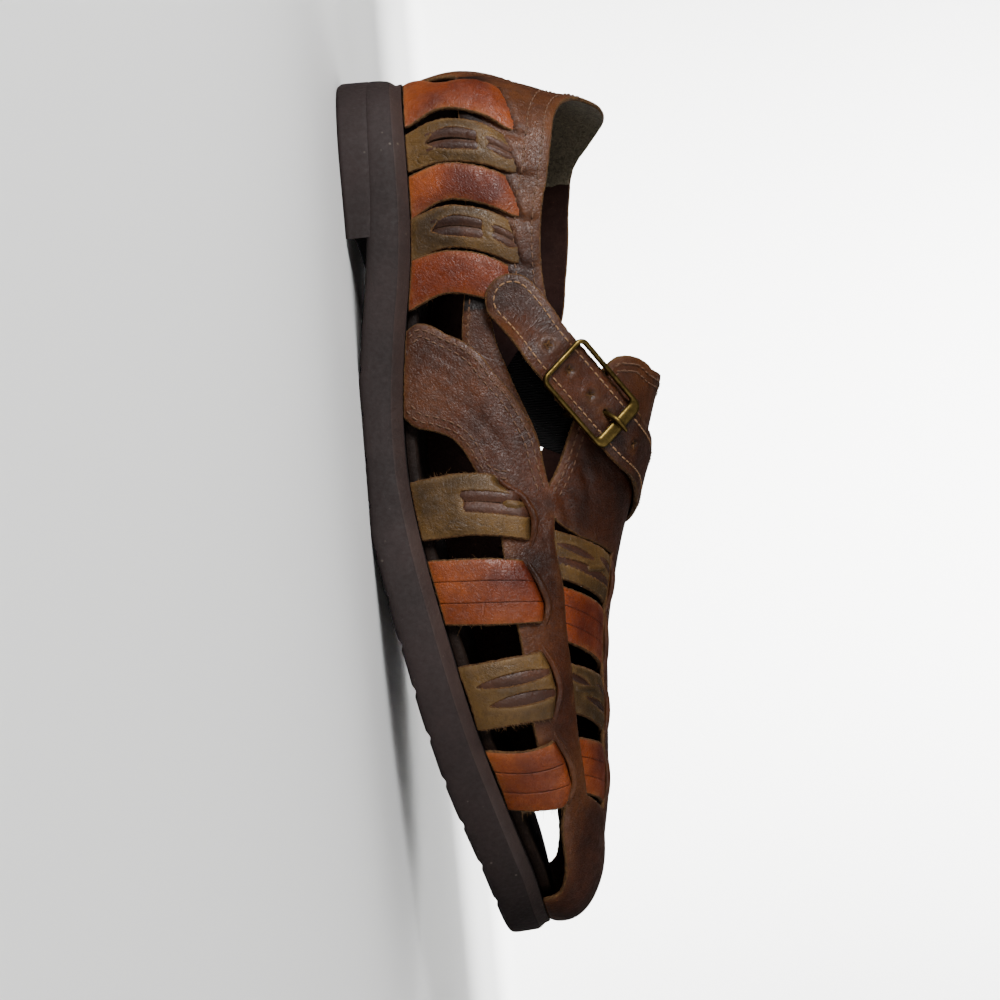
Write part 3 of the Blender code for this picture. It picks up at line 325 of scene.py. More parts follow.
class Finish:
    """A material being made, with short ways to add its nodes.  Its patterns are sized in metres."""

    def __init__(self, name):
        self.made = bpy.data.materials.new(name)
        self.made.use_nodes = True
        self.tree = self.made.node_tree
        self.shader = self.tree.nodes["Principled BSDF"]
        self.where = self.node("ShaderNodeTexCoord").outputs["Object"]

    def fill(self, made, inputs):
        """Sets a node's inputs to constants or joins them to other nodes' sockets."""
        for key, value in inputs.items():
            if isinstance(value, bpy.types.NodeSocket):
                self.tree.links.new(value, made.inputs[key])
            else:
                made.inputs[key].default_value = value

    def node(self, kind, inputs=(), **settings):
        made = self.tree.nodes.new(kind)
        for key, value in settings.items():
            setattr(made, key, value)
        self.fill(made, dict(inputs))
        return made

    def noise(self, scale, detail=4.0, rough=0.55, distortion=0.0):
        return self.node("ShaderNodeTexNoise", {
            "Vector": self.where, "Scale": scale, "Detail": detail, "Roughness": rough,
            "Distortion": distortion,
        }).outputs["Fac"]

    def cells(self, scale, where=None, **settings):
        """Distances of a cell pattern: to each cell's centre, or as the settings say."""
        inputs = {"Vector": self.where if where is None else where, "Scale": scale}
        return self.node("ShaderNodeTexVoronoi", inputs, **settings).outputs["Distance"]

    def ramp(self, value, low, high, to_low=0.0, to_high=1.0):
        return self.node("ShaderNodeMapRange", {
            "Value": value, "From Min": low, "From Max": high, "To Min": to_low, "To Max": to_high,
        }).outputs["Result"]

    def mixed(self, share, a, b):
        made = self.node("ShaderNodeMix", data_type="RGBA", blend_type="MIX", clamp_factor=True)
        self.fill(made, {0: share, 6: a, 7: b})
        return made.outputs[2]

    def maths(self, operation, a, b=0.0):
        return self.node("ShaderNodeMath", {0: a, 1: b}, operation=operation).outputs[0]

    def attribute(self, name):
        return self.node("ShaderNodeAttribute", attribute_name=name).outputs["Fac"]

    def finish(self, base, rough, height=None, strength=0.5, depth=0.0005, shine=None, metallic=None):
        """Fills in the shader, with relief from a height if there is one."""
        self.fill(self.shader, {"Base Color": base, "Roughness": rough})
        if height is not None:
            bump = self.node("ShaderNodeBump", {"Strength": strength, "Distance": depth, "Height": height})
            self.fill(self.shader, {"Normal": bump.outputs["Normal"]})
        if shine is not None:
            self.fill(self.shader, {"Specular IOR Level": shine})
        if metallic is not None:
            self.fill(self.shader, {"Metallic": metallic})
        return self.made


def leather(name, dark, light, worn, gloss, grain=1.0, crackle=0.5, shine=0.3, patina=0.25):
    """Waxed leather: mottled, grained and finely wrinkled, paler where it is rubbed, and darkened in its
    creases and cracks as painted shade.

    gloss is the least roughness, about; patina how much of it is worn in broad patches.
    """
    f = Finish(name)
    fine = f.noise(360, detail=6.0, rough=0.62, distortion=0.15)
    base = f.mixed(f.ramp(f.noise(38, detail=3.0), 0.35, 0.65), dark, light)
    base = f.mixed(f.ramp(f.noise(19, detail=2.0), 0.5, 0.68, 0.0, patina), base, worn)
    base = f.mixed(f.ramp(fine, 0.42, 0.75, 0.0, 0.5), base, dark)
    # Winding creases in patches, and a net of finer cracks whose cells are bent out of shape.
    winding = f.maths("SUBTRACT", f.noise(62, detail=5.0, rough=0.6, distortion=0.6), 0.5)
    creases = f.ramp(f.maths("ABSOLUTE", winding), 0.0, 0.022, 1.0, 0.0)
    creases = f.maths("MULTIPLY", creases, f.ramp(f.noise(70, detail=2.0), 0.42, 0.6))
    wander = f.node("ShaderNodeTexNoise", {"Vector": f.where, "Scale": 160, "Detail": 3.0})
    bent = f.node("ShaderNodeMix", data_type="VECTOR")
    f.fill(bent, {0: 0.018, 4: f.where, 5: wander.outputs["Color"]})
    finer = f.cells(760, bent.outputs[1], feature="DISTANCE_TO_EDGE")
    cracks = f.maths("MAXIMUM", creases, f.ramp(finer, 0.0, 0.14, 0.45, 0.0))
    # Painted shade: the creases and cracks are darkened in the colour.
    base = f.mixed(f.maths("MULTIPLY", cracks, 0.5 * crackle), base, dimmed(dark, 0.35))
    rubbed = f.maths("MULTIPLY", f.attribute("wear"), f.ramp(fine, 0.35, 0.6, 0.15, 1.0))
    rubbed = f.maths("MULTIPLY", rubbed, f.ramp(f.noise(120, detail=3.0), 0.4, 0.62, 0.15, 1.0))
    base = f.mixed(f.maths("MULTIPLY", rubbed, 0.7), base, worn)
    # Painted shade where a point's shade attribute is set: at slits, score grooves and holes, and under the
    # straps.
    base = f.mixed(f.attribute("shade"), base, dimmed(dark, 0.16))
    pores = f.maths("MULTIPLY", f.cells(1150), 0.35 * grain)
    relief = f.maths("ADD", pores, f.maths("MULTIPLY", fine, 0.55))
    relief = f.maths("SUBTRACT", relief, f.maths("MULTIPLY", cracks, 0.7 * crackle))
    return f.finish(base, f.ramp(fine, 0.3, 0.75, gloss - 0.07, gloss + 0.16), relief, shine=shine)


def ribbed(name, dark, light):
    """Woven elastic: fine ribs across the shoe."""
    f = Finish(name)
    ribs = f.node("ShaderNodeTexWave", {"Vector": f.where, "Scale": 390, "Distortion": 0.6}).outputs["Fac"]
    return f.finish(f.mixed(ribs, dark, light), 0.85, ribs, strength=0.8, depth=0.0003, shine=0.1)


def fibrous(name, dark, light):
    """The cut edge of leather, or its flesh side: matte and fibrous."""
    f = Finish(name)
    fibre = f.noise(900, detail=5.0, rough=0.7, distortion=1.0)
    base = f.mixed(f.ramp(fibre, 0.35, 0.68), dark, light)
    return f.finish(base, 0.85, fibre, strength=0.9, depth=0.0004, shine=0.2)


def rubber(name, dark, light, speck, rough):
    """Moulded rubber: clouded, dusty in specks and pale where it is rubbed."""
    f = Finish(name)
    fine = f.noise(700, rough=0.6)
    base = f.mixed(f.ramp(f.noise(30, detail=5.0, rough=0.6), 0.35, 0.68), dark, light)
    dust = f.maths("MULTIPLY", f.ramp(f.cells(210), 0.06, 0.1, 1.0, 0.0), f.ramp(f.noise(55), 0.5, 0.6))
    base = f.mixed(f.maths("MULTIPLY", dust, 0.45), base, speck)
    base = f.mixed(f.attribute("wear"), base, speck)
    # Painted shade where a point's shade attribute is set.
    base = f.mixed(f.attribute("shade"), base, dimmed(dark, 0.3))
    return f.finish(base, f.ramp(fine, 0.3, 0.7, rough - 0.08, rough + 0.1), fine, depth=0.0003, shine=0.25)


def plain(name, base, rough):
    return Finish(name).finish(base, rough)


def aged_brass(name, bright, dark):
    f = Finish(name)
    spots = f.noise(260, detail=5.0, rough=0.7)
    base = f.mixed(f.ramp(spots, 0.38, 0.66), bright, dark)
    rough = f.ramp(spots, 0.35, 0.7, 0.34, 0.56)
    return f.finish(base, rough, spots, strength=0.25, depth=0.0002, metallic=1.0)


BROWN = leather("brown_leather", colour(34, 15, 7), colour(68, 33, 15), colour(100, 60, 28),
                gloss=0.38, crackle=0.7, shine=0.27, patina=0.5)
TAN = leather("tan_leather", colour(70, 22, 6), colour(126, 54, 15), colour(140, 84, 40),
              gloss=0.38, crackle=0.9)
OLIVE = leather("olive_leather", colour(46, 31, 12), colour(88, 62, 27), colour(116, 88, 50),
                gloss=0.4, crackle=0.8)
LACE = leather("lace_leather", colour(40, 21, 13), colour(70, 40, 26), colour(92, 62, 40), gloss=0.42)
LINING = leather("lining_leather", colour(24, 12, 11), colour(40, 22, 18), colour(40, 28, 20),
                 gloss=0.75, grain=0.6, shine=0.08)
# Footbed leather kept nearly black: painted shade for the inside of the shoe seen through the gaps.
FOOTBED = leather("footbed_leather", colour(18, 12, 10), colour(34, 23, 18), colour(52, 38, 28),
                  gloss=0.6, shine=0.12)
SUEDE = fibrous("heel_suede", colour(64, 57, 45), colour(104, 95, 78))
RAW = fibrous("raw_edge", colour(44, 27, 14), colour(98, 68, 38))
DARK_EDGE = fibrous("dark_edge", colour(30, 17, 10), colour(64, 43, 27))
FIBRE = plain("loose_fibre", colour(112, 82, 50), 0.8)
THREAD = plain("thread", colour(84, 56, 36), 0.75)
PALE_THREAD = plain("pale_thread", colour(120, 88, 58), 0.75)
BRASS = aged_brass("antique_brass", colour(118, 98, 52), colour(58, 46, 22))
SOLE_WALL = rubber("sole_rubber", colour(30, 22, 21), colour(42, 32, 31), colour(96, 88, 80), 0.72)
# The sole's bevel is the same rubber, glossier and made paler: the paler colour is a painted highlight along
# its rim.
HIGHLIT_SOLE_BEVEL = rubber("sole_bevel_rubber_painted_highlight", colour(38, 28, 26), colour(56, 43, 39), colour(96, 84, 72), 0.5)
ELASTIC = ribbed("elastic", colour(5, 5, 5), colour(15, 14, 14))


# ---------------------------------------------------------------- leather shells

def in_scene(name, data):
    made = bpy.data.objects.new(name, data)
    bpy.context.scene.collection.objects.link(made)
    return made


def smooth_mesh(name, metres, faces, edges=()):
    mesh = bpy.data.meshes.new(name)
    mesh.from_pydata(np.asarray(metres).tolist(), list(edges), [tuple(face) for face in faces])
    mesh.polygons.foreach_set("use_smooth", np.ones(len(mesh.polygons), bool))
    return mesh


def add_mesh(name, points, faces, finishes, slots=None, facts=None):
    """A smooth piece in the row frame, with a finish for each face and named numbers at its points."""
    mesh = smooth_mesh(name, (np.asarray(points) - ORIGIN) * MM, faces)
    for finish in finishes:
        mesh.materials.append(finish)
    if slots is not None:
        mesh.polygons.foreach_set("material_index", np.asarray(slots, np.int32))
    for key, values in (facts or {}).items():
        found = mesh.attributes.new(key, "FLOAT", "POINT")
        found.data.foreach_set("value", np.asarray(values, np.float32))
    mesh.update()
    return in_scene(name, mesh)


def mend(made, sharp, weld=0.0):
    """Turns a piece's faces outward, welds its points and marks its edges sharper than an angle."""
    bm = bmesh.new()
    bm.from_mesh(made.data)
    if weld:
        bmesh.ops.remove_doubles(bm, verts=bm.verts, dist=weld)
    bmesh.ops.recalc_face_normals(bm, faces=bm.faces)
    bm.to_mesh(made.data)
    bm.free()
    made.data.set_sharp_from_angle(angle=math.radians(sharp))
    return made


def ring_faces(rings, around, start=0, closed=False):
    """Quads between rings of points that follow one another."""
    faces = []
    for a in range(rings if closed else rings - 1):
        b = (a + 1) % rings
        for k in range(around):
            m = (k + 1) % around
            quad = (a * around + k, a * around + m, b * around + m, b * around + k)
            faces.append(tuple(start + i for i in quad))
    return faces


def gap_to(points, others):
    """The distance from each point to the nearest of the others, in the plane or in space."""
    points, others = (np.pad(rows, ((0, 0), (0, 3 - rows.shape[1]))) for rows in (points, others))
    tree = KDTree(len(others))
    for i, point in enumerate(others):
        tree.insert(point, i)
    tree.balance()
    return np.array([tree.find(point)[2] for point in points])


def boundary(faces):
    """Directed edges that only one face has."""
    edges = np.concatenate([faces[:, [k, (k + 1) % faces.shape[1]]] for k in range(faces.shape[1])])
    size = int(faces.max()) + 1
    code = edges[:, 0] * size + edges[:, 1]
    return edges[~np.isin(code, edges[:, 1] * size + edges[:, 0])]


# Rings of a cut edge, in half thicknesses: how high above the middle, and how far it bulges out.
RIM = ((0.82, 0.3), (0.0, 0.5), (-0.82, 0.3))
RIM_WEAR = 0.5
ROLL_WIDTH = 0.9
ROUGH = np.random.default_rng(7)


def bump_at(gap, width):
    """A smooth bump, 1 where the gap is 0 and nearly gone at twice the width."""
    return np.exp(-((gap / width) ** 2))


def shell(name, points, normals, low, high, faces, finishes, rough=0.0, roll=0.3, shade=0.0, fade=2.2,
          wear=0.7):
    """Leather between two offsets from a surface, with a rounded cut edge round every opening.

    finishes are those of the outside, the inside and the cut edge.  rough frays the cut edge, roll lowers
    the face towards it, and wear rubs the face pale within fade of it.  shade darkens the face with painted
    shade.
    """
    edges = boundary(faces)
    rim = np.unique(edges)
    inset = gap_to(points, points[rim])
    high = high - roll * bump_at(inset, ROLL_WIDTH)
    outward = np.zeros_like(points)
    direction = np.cross(unit(points[edges[:, 1]] - points[edges[:, 0]] + 1e-9), normals[edges[:, 0]])
    for k in (0, 1):
        np.add.at(outward, edges[:, k], direction)
    outward = unit(outward[rim] + 1e-9)
    middle, half = (high + low)[rim] / 2, (high - low)[rim] / 2
    count = len(points)
    layers = [points + normals * high[:, None], points + normals * low[:, None]]
    for level, out in RIM:
        fray = rough * ROUGH.random(len(rim))
        up = normals[rim] * (middle + half * level)[:, None]
        layers.append(points[rim] + up + outward * (half * out + fray)[:, None])
    where = np.zeros(count, int)
    where[rim] = np.arange(len(rim))
    rings = [lambda i: i] + [lambda i, k=k: 2 * count + k * len(rim) + where[i] for k in range(len(RIM))]
    rings.append(lambda i: count + i)
    a, b = edges[:, 0], edges[:, 1]
    sides = [np.column_stack([near(b), near(a), far(a), far(b)]) for near, far in zip(rings, rings[1:])]
    all_faces = [*faces.tolist(), *(faces[:, ::-1] + count).tolist(), *np.vstack(sides).tolist()]
    slots = [0] * len(faces) + [1] * len(faces) + [2] * (len(all_faces) - 2 * len(faces))
    rub = wear * bump_at(inset, fade)
    dark = np.broadcast_to(shade, (count,))
    facts = {
        "wear": np.concatenate([rub, 0 * rub, *[np.full(len(rim), RIM_WEAR)] * len(RIM)]),
        "shade": np.concatenate([dark, 0 * dark, *[dark[rim]] * len(RIM)]),
    }
    return add_mesh(name, np.vstack(layers), all_faces, finishes, slots, facts)


# Rows of points lie this many pitches apart, so that their triangles are even.
ROW_SHARE = 0.87


def resampled(plan, pitch):
    """Plan points along a closed or open outline, about a pitch apart on the last."""
    dense = []
    for a, b in zip(plan[:-1], plan[1:]):
        length = steps_of(last_point(a + (b - a) * np.linspace(0, 1, 5)[:, None])).sum()
        count = max(1, round(length / pitch))
        if length > 0.25 * pitch:
            dense.append(a + (b - a) * np.arange(count)[:, None] / count)
    return np.vstack(dense)


def lattice(pitch):
    """Plan points over the whole last, a pitch apart in rows up from the feather line."""
    rows = []
    fine = np.arange(0, GIRTH, 0.5)
    half = half_girth(fine)
    for n, rise in enumerate(np.arange(pitch * 0.5, half.max() - pitch, pitch * ROW_SHARE)):
        keep = half > rise + 0.4 * pitch
        u, share = fine[keep], (rise / half)[keep]
        steps = steps_of(from_grid(GRID_POINTS, u, share))
        length = np.concatenate([[0], np.cumsum(np.minimum(steps, 3.0))])
        want = np.arange((n % 2) * pitch / 2, length[-1], pitch)
        rows.append(on_plan(np.interp(want, length, u), rise))
    return np.vstack(rows)


def inside(points, loop):
    """Whether plan points are in a closed outline."""
    found = np.zeros(len(points), bool)
    for (x0, y0), (x1, y1) in zip(loop, np.roll(loop, -1, axis=0)):
        crosses = (points[:, 1] < y0) != (points[:, 1] < y1)
        x = x0 + (points[:, 1] - y0) * (x1 - x0) / (y1 - y0 + 1e-12)
        found ^= crosses & (points[:, 0] < x)
    return found


def signed_area(loop):
    x, y = loop.T
    return float(x @ np.roll(y, -1) - y @ np.roll(x, -1)) / 2


def loop_ids(loops):
    """The numbers of each loop's points, counted through all the loops."""
    starts = np.cumsum([0] + [len(loop) for loop in loops])
    return [list(range(a, b)) for a, b in zip(starts, starts[1:])]


def cut_sheet(outlines, pitch):
    """A triangulated sheet of the last's plan inside any of the outlines: plan points and faces."""
    loops = []
    for outline in outlines:
        closed = np.vstack([outline, outline[:1]])
        loop = resampled(closed, pitch)
        loops.append(loop if signed_area(loop) > 0 else loop[::-1])
    rim = np.vstack(loops)
    fill = lattice(pitch)
    low, high = rim.min(axis=0), rim.max(axis=0)
    fill = fill[((fill > low) & (fill < high)).all(axis=1)]
    fill = fill[np.any([inside(fill, loop) for loop in loops], axis=0)]
    fill = fill[gap_to(last_point(fill), last_point(rim)) > 0.55 * pitch]
    flat = [tuple(p) for p in stretched(np.vstack([rim, fill]))]
    verts, _, faces, _, _, owners = delaunay_2d_cdt(flat, [], loop_ids(loops), 1, 0.02, True)
    kept = np.array([face for face, own in zip(faces, owners) if own])
    used, index = np.unique(kept, return_inverse=True)
    return unstretched(np.array([tuple(verts[i]) for i in used])), index.reshape(kept.shape)


def crease_depth(points, creases):
    """How far listed creases sink (below 0) or lift points."""
    sink = np.zeros(len(points))
    for where, rows, width, depth in creases:
        line = last_point(resampled(places(where, rows), 2.0))
        best = np.full(len(points), 1e9)
        along = np.zeros(len(points))
        for k, (a, b) in enumerate(zip(line[:-1], line[1:])):
            t = np.clip(((points - a) @ (b - a)) / ((b - a) @ (b - a)), 0, 1)
            gap = np.linalg.norm(points - a - t[:, None] * (b - a), axis=1)
            nearer = gap < best
            best = np.where(nearer, gap, best)
            along = np.where(nearer, (k + t) / (len(line) - 1), along)
        taper = np.sin(np.pi * np.clip(along, 0.02, 0.98)) ** 0.6
        trough = bump_at(best, width) - 0.4 * bump_at(best - 2.1 * width, width)
        sink -= depth * trough * taper
    return sink


def waves(points, size, depth):
    """A gentle unevenness of hand-lasted leather."""
    x, y, z = points.T / size
    broad = np.sin(x + 1.7 * np.sin(0.8 * z)) * np.cos(1.1 * y + 0.6 * x)
    return depth * (broad + 0.5 * np.sin(1.9 * z + 0.7 * x)) / 1.5


def grid_faces(rows, columns):
    """Quads of a grid of points."""
    i, j = np.meshgrid(np.arange(rows - 1), np.arange(columns - 1), indexing="ij")
    k = (i * columns + j).ravel()
    return np.column_stack([k, k + columns, k + columns + 1, k + 1])


def outward_faces(points, normals, faces):
    """The faces, turned over if they look into the last."""
    a, b, c = (points[faces[:, k]] for k in range(3))
    looks = (np.cross(b - a, c - a) * normals[faces[:, 0]]).sum()
    return faces if looks > 0 else faces[:, ::-1]


def flat_sheet(outline, holes, pitch, hole_pitch):
    """A triangulated flat outline with holes: points and faces."""
    loops = []
    for loop in (outline, *holes):
        closed = np.vstack([loop, loop[:1]])
        step = pitch if loop is outline else hole_pitch
        dense = [
            a + (b - a) * np.arange(n)[:, None] / n
            for a, b in zip(closed[:-1], closed[1:])
            for n in [max(1, round(float(np.linalg.norm(b - a)) / step))]
        ]
        loops.append(np.vstack(dense))
    rim = np.vstack(loops)
    low, high = loops[0].min(axis=0), loops[0].max(axis=0)
    fill = []
    for n, y in enumerate(np.arange(low[1] + pitch / 2, high[1], pitch * ROW_SHARE)):
        x = np.arange(low[0] + (n % 2) * pitch / 2, high[0], pitch)
        fill.append(np.column_stack([x, np.full(len(x), y)]))
    fill = np.vstack(fill)
    fill = fill[inside(fill, loops[0])]
    for hole in loops[1:]:
        fill = fill[~inside(fill, hole)]
    fill = fill[gap_to(fill, rim) > 0.5 * pitch]
    flat = [tuple(p) for p in np.vstack([rim, fill])]
    verts, _, faces, _, _, _ = delaunay_2d_cdt(flat, [], loop_ids(loops), 1, 1e-4, True)
    verts, faces = np.array([tuple(v) for v in verts]), np.array(faces)
    middle = verts[faces].mean(axis=1)
    keep_face = inside(middle, loops[0])
    for hole in loops[1:]:
        keep_face &= ~inside(middle, hole)
    used, index = np.unique(faces[keep_face], return_inverse=True)
    return verts[used], index.reshape(-1, 3)


LEAST_HALF_LEAF = 0.12


def leaf(a, b, wide, blunt):
    """An outline from a to b, pointed (0) to blunt (1) at each end."""
    t = np.linspace(0, 1, 17)
    ends = [
        share + (1 - share) * np.sin(np.clip(2 * k, 0, 1) * math.pi / 2) ** 0.8
        for share, k in zip(blunt, (t, 1 - t))
    ]
    half = np.maximum(wide / 2 * np.minimum(*ends), LEAST_HALF_LEAF)
    side = unit(np.array((a[1] - b[1], b[0] - a[0])))
    middle = a + (b - a) * t[:, None]
    return np.vstack([middle - side * half[:, None], (middle + side * half[:, None])[::-1]])


STRAP_PITCH, STRAP_WAVE, STRAP_FRAY = 0.95, 0.12, 0.3
WINDOW_PITCH, WINDOW_LIFT = 0.6, 0.45
SCORE_WIDTH, SCORE_DEPTH = 0.36, 0.5
# A strap has a painted shadow within this distance of its slit, fading over the second.
SLIT_SHADOW = (2.6, 1.8)


class Strap:
    """A strap between curved edges on the plan: a runs along it and b across it, both from 0 to 1.

    lift is its height above the last along it, crown how much higher its middle is than its edges, slant how
    far the lift is ahead on its front edge, and slits are stations and rises of the slits it goes into.
    """

    def __init__(self, edges, lift, crown=0.35, slant=0.0, slits=None):
        self.edges = np.asarray(edges)
        self.lift, self.crown, self.slant, self.slits = lift, crown, slant, slits
        rear, front = self.edges[0], self.edges[-1]
        self.length = steps_of(last_point((rear + front) / 2)).sum()
        half = len(rear) // 2
        self.width = float(np.linalg.norm(last_point(rear[half]) - last_point(front[half])))

    def plan(self, a, b):
        a, b = np.broadcast_arrays(np.atleast_1d(a), b)
        shares = np.linspace(0, 1, self.edges.shape[1])
        curves = np.stack([curve_at(a, shares, edge) for edge in self.edges])
        at = b * (len(self.edges) - 1)
        low = np.clip(np.floor(at).astype(int), 0, len(self.edges) - 2)
        near, far = curves[low, np.arange(len(a))], curves[low + 1, np.arange(len(a))]
        return near + (far - near) * (at - low)[:, None]

    def before_slit(self, a, b):
        """How far below its slit in the side spine the strap is."""
        u, share = from_plan(self.plan(a, b))
        return np.interp(u, *self.slits) - share * half_girth(u)

    def level(self, a, b):
        """Height of the strap's underside above the last."""
        at = np.clip(a - self.slant * (b - 0.5), 0, 1)
        low = hermite(at, *np.transpose(self.lift))
        if self.slits is not None:
            low = np.minimum(low, hermite(self.before_slit(a, b), *np.transpose(SLIT_LIFT)))
        return low + self.crown * (1 - (2 * b - 1) ** 2)

    def grid(self, scores):
        """Shares along and across the strap at points of a grid, with rows beside and on every score."""
        across = np.linspace(0, 1, max(6, round(self.width / STRAP_PITCH)))
        for score in scores:
            rows = np.array([-0.5, -SCORE_WIDTH / 2, 0, SCORE_WIDTH / 2, 0.5]) / self.width
            across = across[np.abs(across - score) > 0.7 / self.width]
            across = np.sort(np.concatenate([across, score + rows]))
        along = np.linspace(0, 1, max(8, round(self.length / STRAP_PITCH)))
        a, b = (grid.ravel() for grid in np.meshgrid(along, across, indexing="ij"))
        return a, b, grid_faces(len(along), len(across))

    def mesh(self, name, finishes, scores=(), windows=(), folds=()):
        size = np.array((self.length, self.width))
        rims = [leaf(np.array(w[0:2]) * size, np.array(w[2:4]) * size, w[4], w[5:7]) for w in windows]
        if rims:
            corners = np.array(((0, 0), (1, 0), (1, 1), (0, 1))) * size
            flat, faces = flat_sheet(corners, rims, STRAP_PITCH, WINDOW_PITCH)
            a, b = np.clip(flat / size, 0, 1).T
        else:
            a, b, faces = self.grid(scores)
            flat = np.column_stack([a, b]) * size
        plan = self.plan(a, b)
        points, normals = last_point(plan), last_normal(plan)
        faces = outward_faces(points, normals, faces)
        low = self.level(a, b) + waves(points, 4.0, STRAP_WAVE)
        dip = np.zeros(len(points))
        for score in scores:
            dip = np.maximum(dip, np.abs(b - score) * self.width < 0.1)
        for at, depth in folds:
            gap = (a - at) * self.length - 1.5 * np.sin(5 * b + 9 * at)
            low = low - depth * bump_at(gap, 1.1) + 0.4 * depth * bump_at(gap - 2.2, 1.4)
        for rim in rims:
            far = np.linalg.norm(flat[:, None] - rim, axis=2).min(axis=1)
            low = low + WINDOW_LIFT * bump_at(far, 0.9)
        high = low + PANEL_THICK - SCORE_DEPTH * dip
        # Painted shade in the score grooves.
        dark = 0.85 * dip
        # Painted shadow where the strap goes down into its slit.
        if self.slits is not None:
            near, fade = SLIT_SHADOW
            dark = np.maximum(dark, 0.9 * np.clip((near - self.before_slit(a, b)) / fade, 0, 1))
        return shell(name, points, normals, low, high, faces, finishes, rough=STRAP_FRAY, shade=dark,
                     fade=1.2)


RIBBON_COLUMNS = 7


def ribbon(name, plan, widths, lows, thick, finishes, crown, rough=0.0):
    """A narrow strip along plan points, lying at the given heights above the last."""
    centre, normals = last_point(plan), last_normal(plan)
    across = unit(np.cross(normals, np.gradient(centre, axis=0)))
    b = np.linspace(-0.5, 0.5, RIBBON_COLUMNS)
    points = centre[:, None] + across[:, None] * (b[:, None] * np.asarray(widths)[:, None, None])
    arch = np.asarray(lows)[:, None] + crown * (1 - (2 * b) ** 2)
    points, arch = points.reshape(-1, 3), arch.reshape(-1)
    normals = np.repeat(normals, RIBBON_COLUMNS, axis=0)
    faces = outward_faces(points, normals, grid_faces(len(plan), RIBBON_COLUMNS))
    return shell(name, points, normals, arch, arch + thick, faces, finishes, rough=rough, roll=0.12, wear=0.5,
                 fade=0.6)


# ---------------------------------------------------------------- tables of the upper

SLIT = 33.0
BAND_FOOT = 17.5
WAIST = 10.0
REAR_STRAPS = (
    # name, station of its rear and front edge at the sole, at the waist and at its slit in the band
    ("rear_tan_1", 7.0, 35, 20.5, 31.5, 24, 41),
    ("rear_olive_1", 38.5, 50, 36, 48.5, 43.5, 54),
    ("rear_tan_2", 52, 65, 49.6, 60.5, 56, 68),
    ("rear_olive_2", 65.5, 78.5, 63, 75.5, 70, 82.5),
    ("rear_tan_3", 78.5, 94, 77, 90, 84.5, 97),
)
# An edge of a rear strap also passes a knot above the waist: its rise in waists, and how far it has gone
# from its place at the waist to its place at the slit.
REAR_KNOT = (2.2, 0.3)
# The medial rear straps are broader at each edge by these amounts, but for two with rows of their own.
INNER_SPARE = (-1.5, 1.5, -1.6, 1.6, -0.5, 0.5)
INNER_REAR_TAN_1 = (4.0, 36.5, 9.0, 33.5, 16.0, 41.5)
INNER_REAR_TAN_3 = (79.5, 98.5, 76, 98, 84.0, 98.5)
REAR_LIFT = ((0, 0.2), (0.25, 1.9), (0.5, 2.6), (0.68, 2.5), (0.82, 1.6), (0.92, 0.2), (1, -1.4))
FRONT_STRAPS = (
    # name, rear and front edge at the sole, halfway, at the side spine; the spine's rise there
    ("olive_1", 149, 167, 148, 167, 152, 171, 31.0),
    ("tan_1", 174, 193.5, 175, 195, 178, 196, 29.5),
    ("olive_2", 207, 226, 206, 225, 204.5, 225, 26.0),
    ("tan_2", 233, 252, 234, 253, 231, 252, 20.5),
)
FRONT_LIFT = ((0, 0.2), (0.3, 1.6), (0.55, 2.5), (0.8, 2.7), (1, 2.6))
SLIT_LIFT = ((-6, -1.6), (-2, -1.5), (0, -0.6), (1.5, 1.1), (3.5, 2.7), (6, 3.2))
CROSS_STRAPS = (
    # name, rear and front edge at the side spine, and at the inner spine; the side spine's rise there
    ("cross_olive_1", 166, 181, 180, 195, 35.0),
    ("cross_tan_1", 184, 201.5, 198, 216, 34.5),
    ("cross_olive_2", 208.5, 224, 220, 237, 31.0),
    ("cross_tan_2", 232, 251, 241.5, 261, 26.0),
)
CROSS_LIFT = ((0, -1.0), (0.2, 0.4), (0.5, 0.9), (0.8, 0.4), (1, -1.0))
INNER_STRAPS = (
    # name, rear and front edge at the sole and at the inner spine, on the medial side
    ("inner_olive_1", 165, 185, 176.5, 197),
    ("inner_tan_1", 197.5, 217.5, 201, 221.5),
    ("inner_olive_2", 221, 238, 224, 242),
    ("inner_tan_2", 240.5, 260, 244.5, 264),
)
INNER_FRONT_SPARE = 1.1
INNER_LIFT = ((0, 0.2), (0.3, 1.2), (0.6, 1.3), (0.9, 0.6), (1, -1.0))
INNER_SPINE = dict(near=21.0, far=7.0, begin=168.0, end=262.0)
COLLAR = (
    # station (medial stations are negative), rise of the collar's edge
    (-104, 48), (-94, 50), (-78, 50.5), (-57, 52), (-42, 54.5), (-31, 61), (-18, 67), (-5, 67), (5, 64),
    (15, 57), (24, 51.5), (33, 47.6), (47, 44.6), (58, 42.4), (66, 40.6), (78, 40.1), (90, 41.8),
    (100, 45.2), (107, 50),
)
SIDE_SPINE = (
    # station, rise of its outer edge, of the slits the straps go into and of its inner edge
    (152, 27.5, 27.5, 41.5), (156, 26.6, 32.5, 42.0), (163, 25.0, 34.5, 41.5), (170, 23.6, 33.2, 40.0),
    (177, 22.8, 29.5, 39.4), (184, 22.2, 30.8, 39.4), (191, 21.6, 31.8, 38.6), (197, 21.0, 30.0, 37.6),
    (203, 20.4, 26.8, 37.0), (210, 19.4, 28.0, 36.4), (217, 18.0, 28.0, 35.0), (225, 16.6, 24.5, 33.4),
    (231, 15.8, 21.8, 32.0), (239, 15.2, 23.0, 30.8), (247, 15.6, 22.4, 29.2), (253, 17.5, 18.5, 27.6),
)
WING_REAR = (
    # station, rise
    (101, 0), (99, 3), (100, 7), (103, 12), (106, 17.6), (110.5, 23), (117, 27.8), (123, 32.6), (130, 36.5),
    (139, 40), (148, 41), (153, 41.6),
)
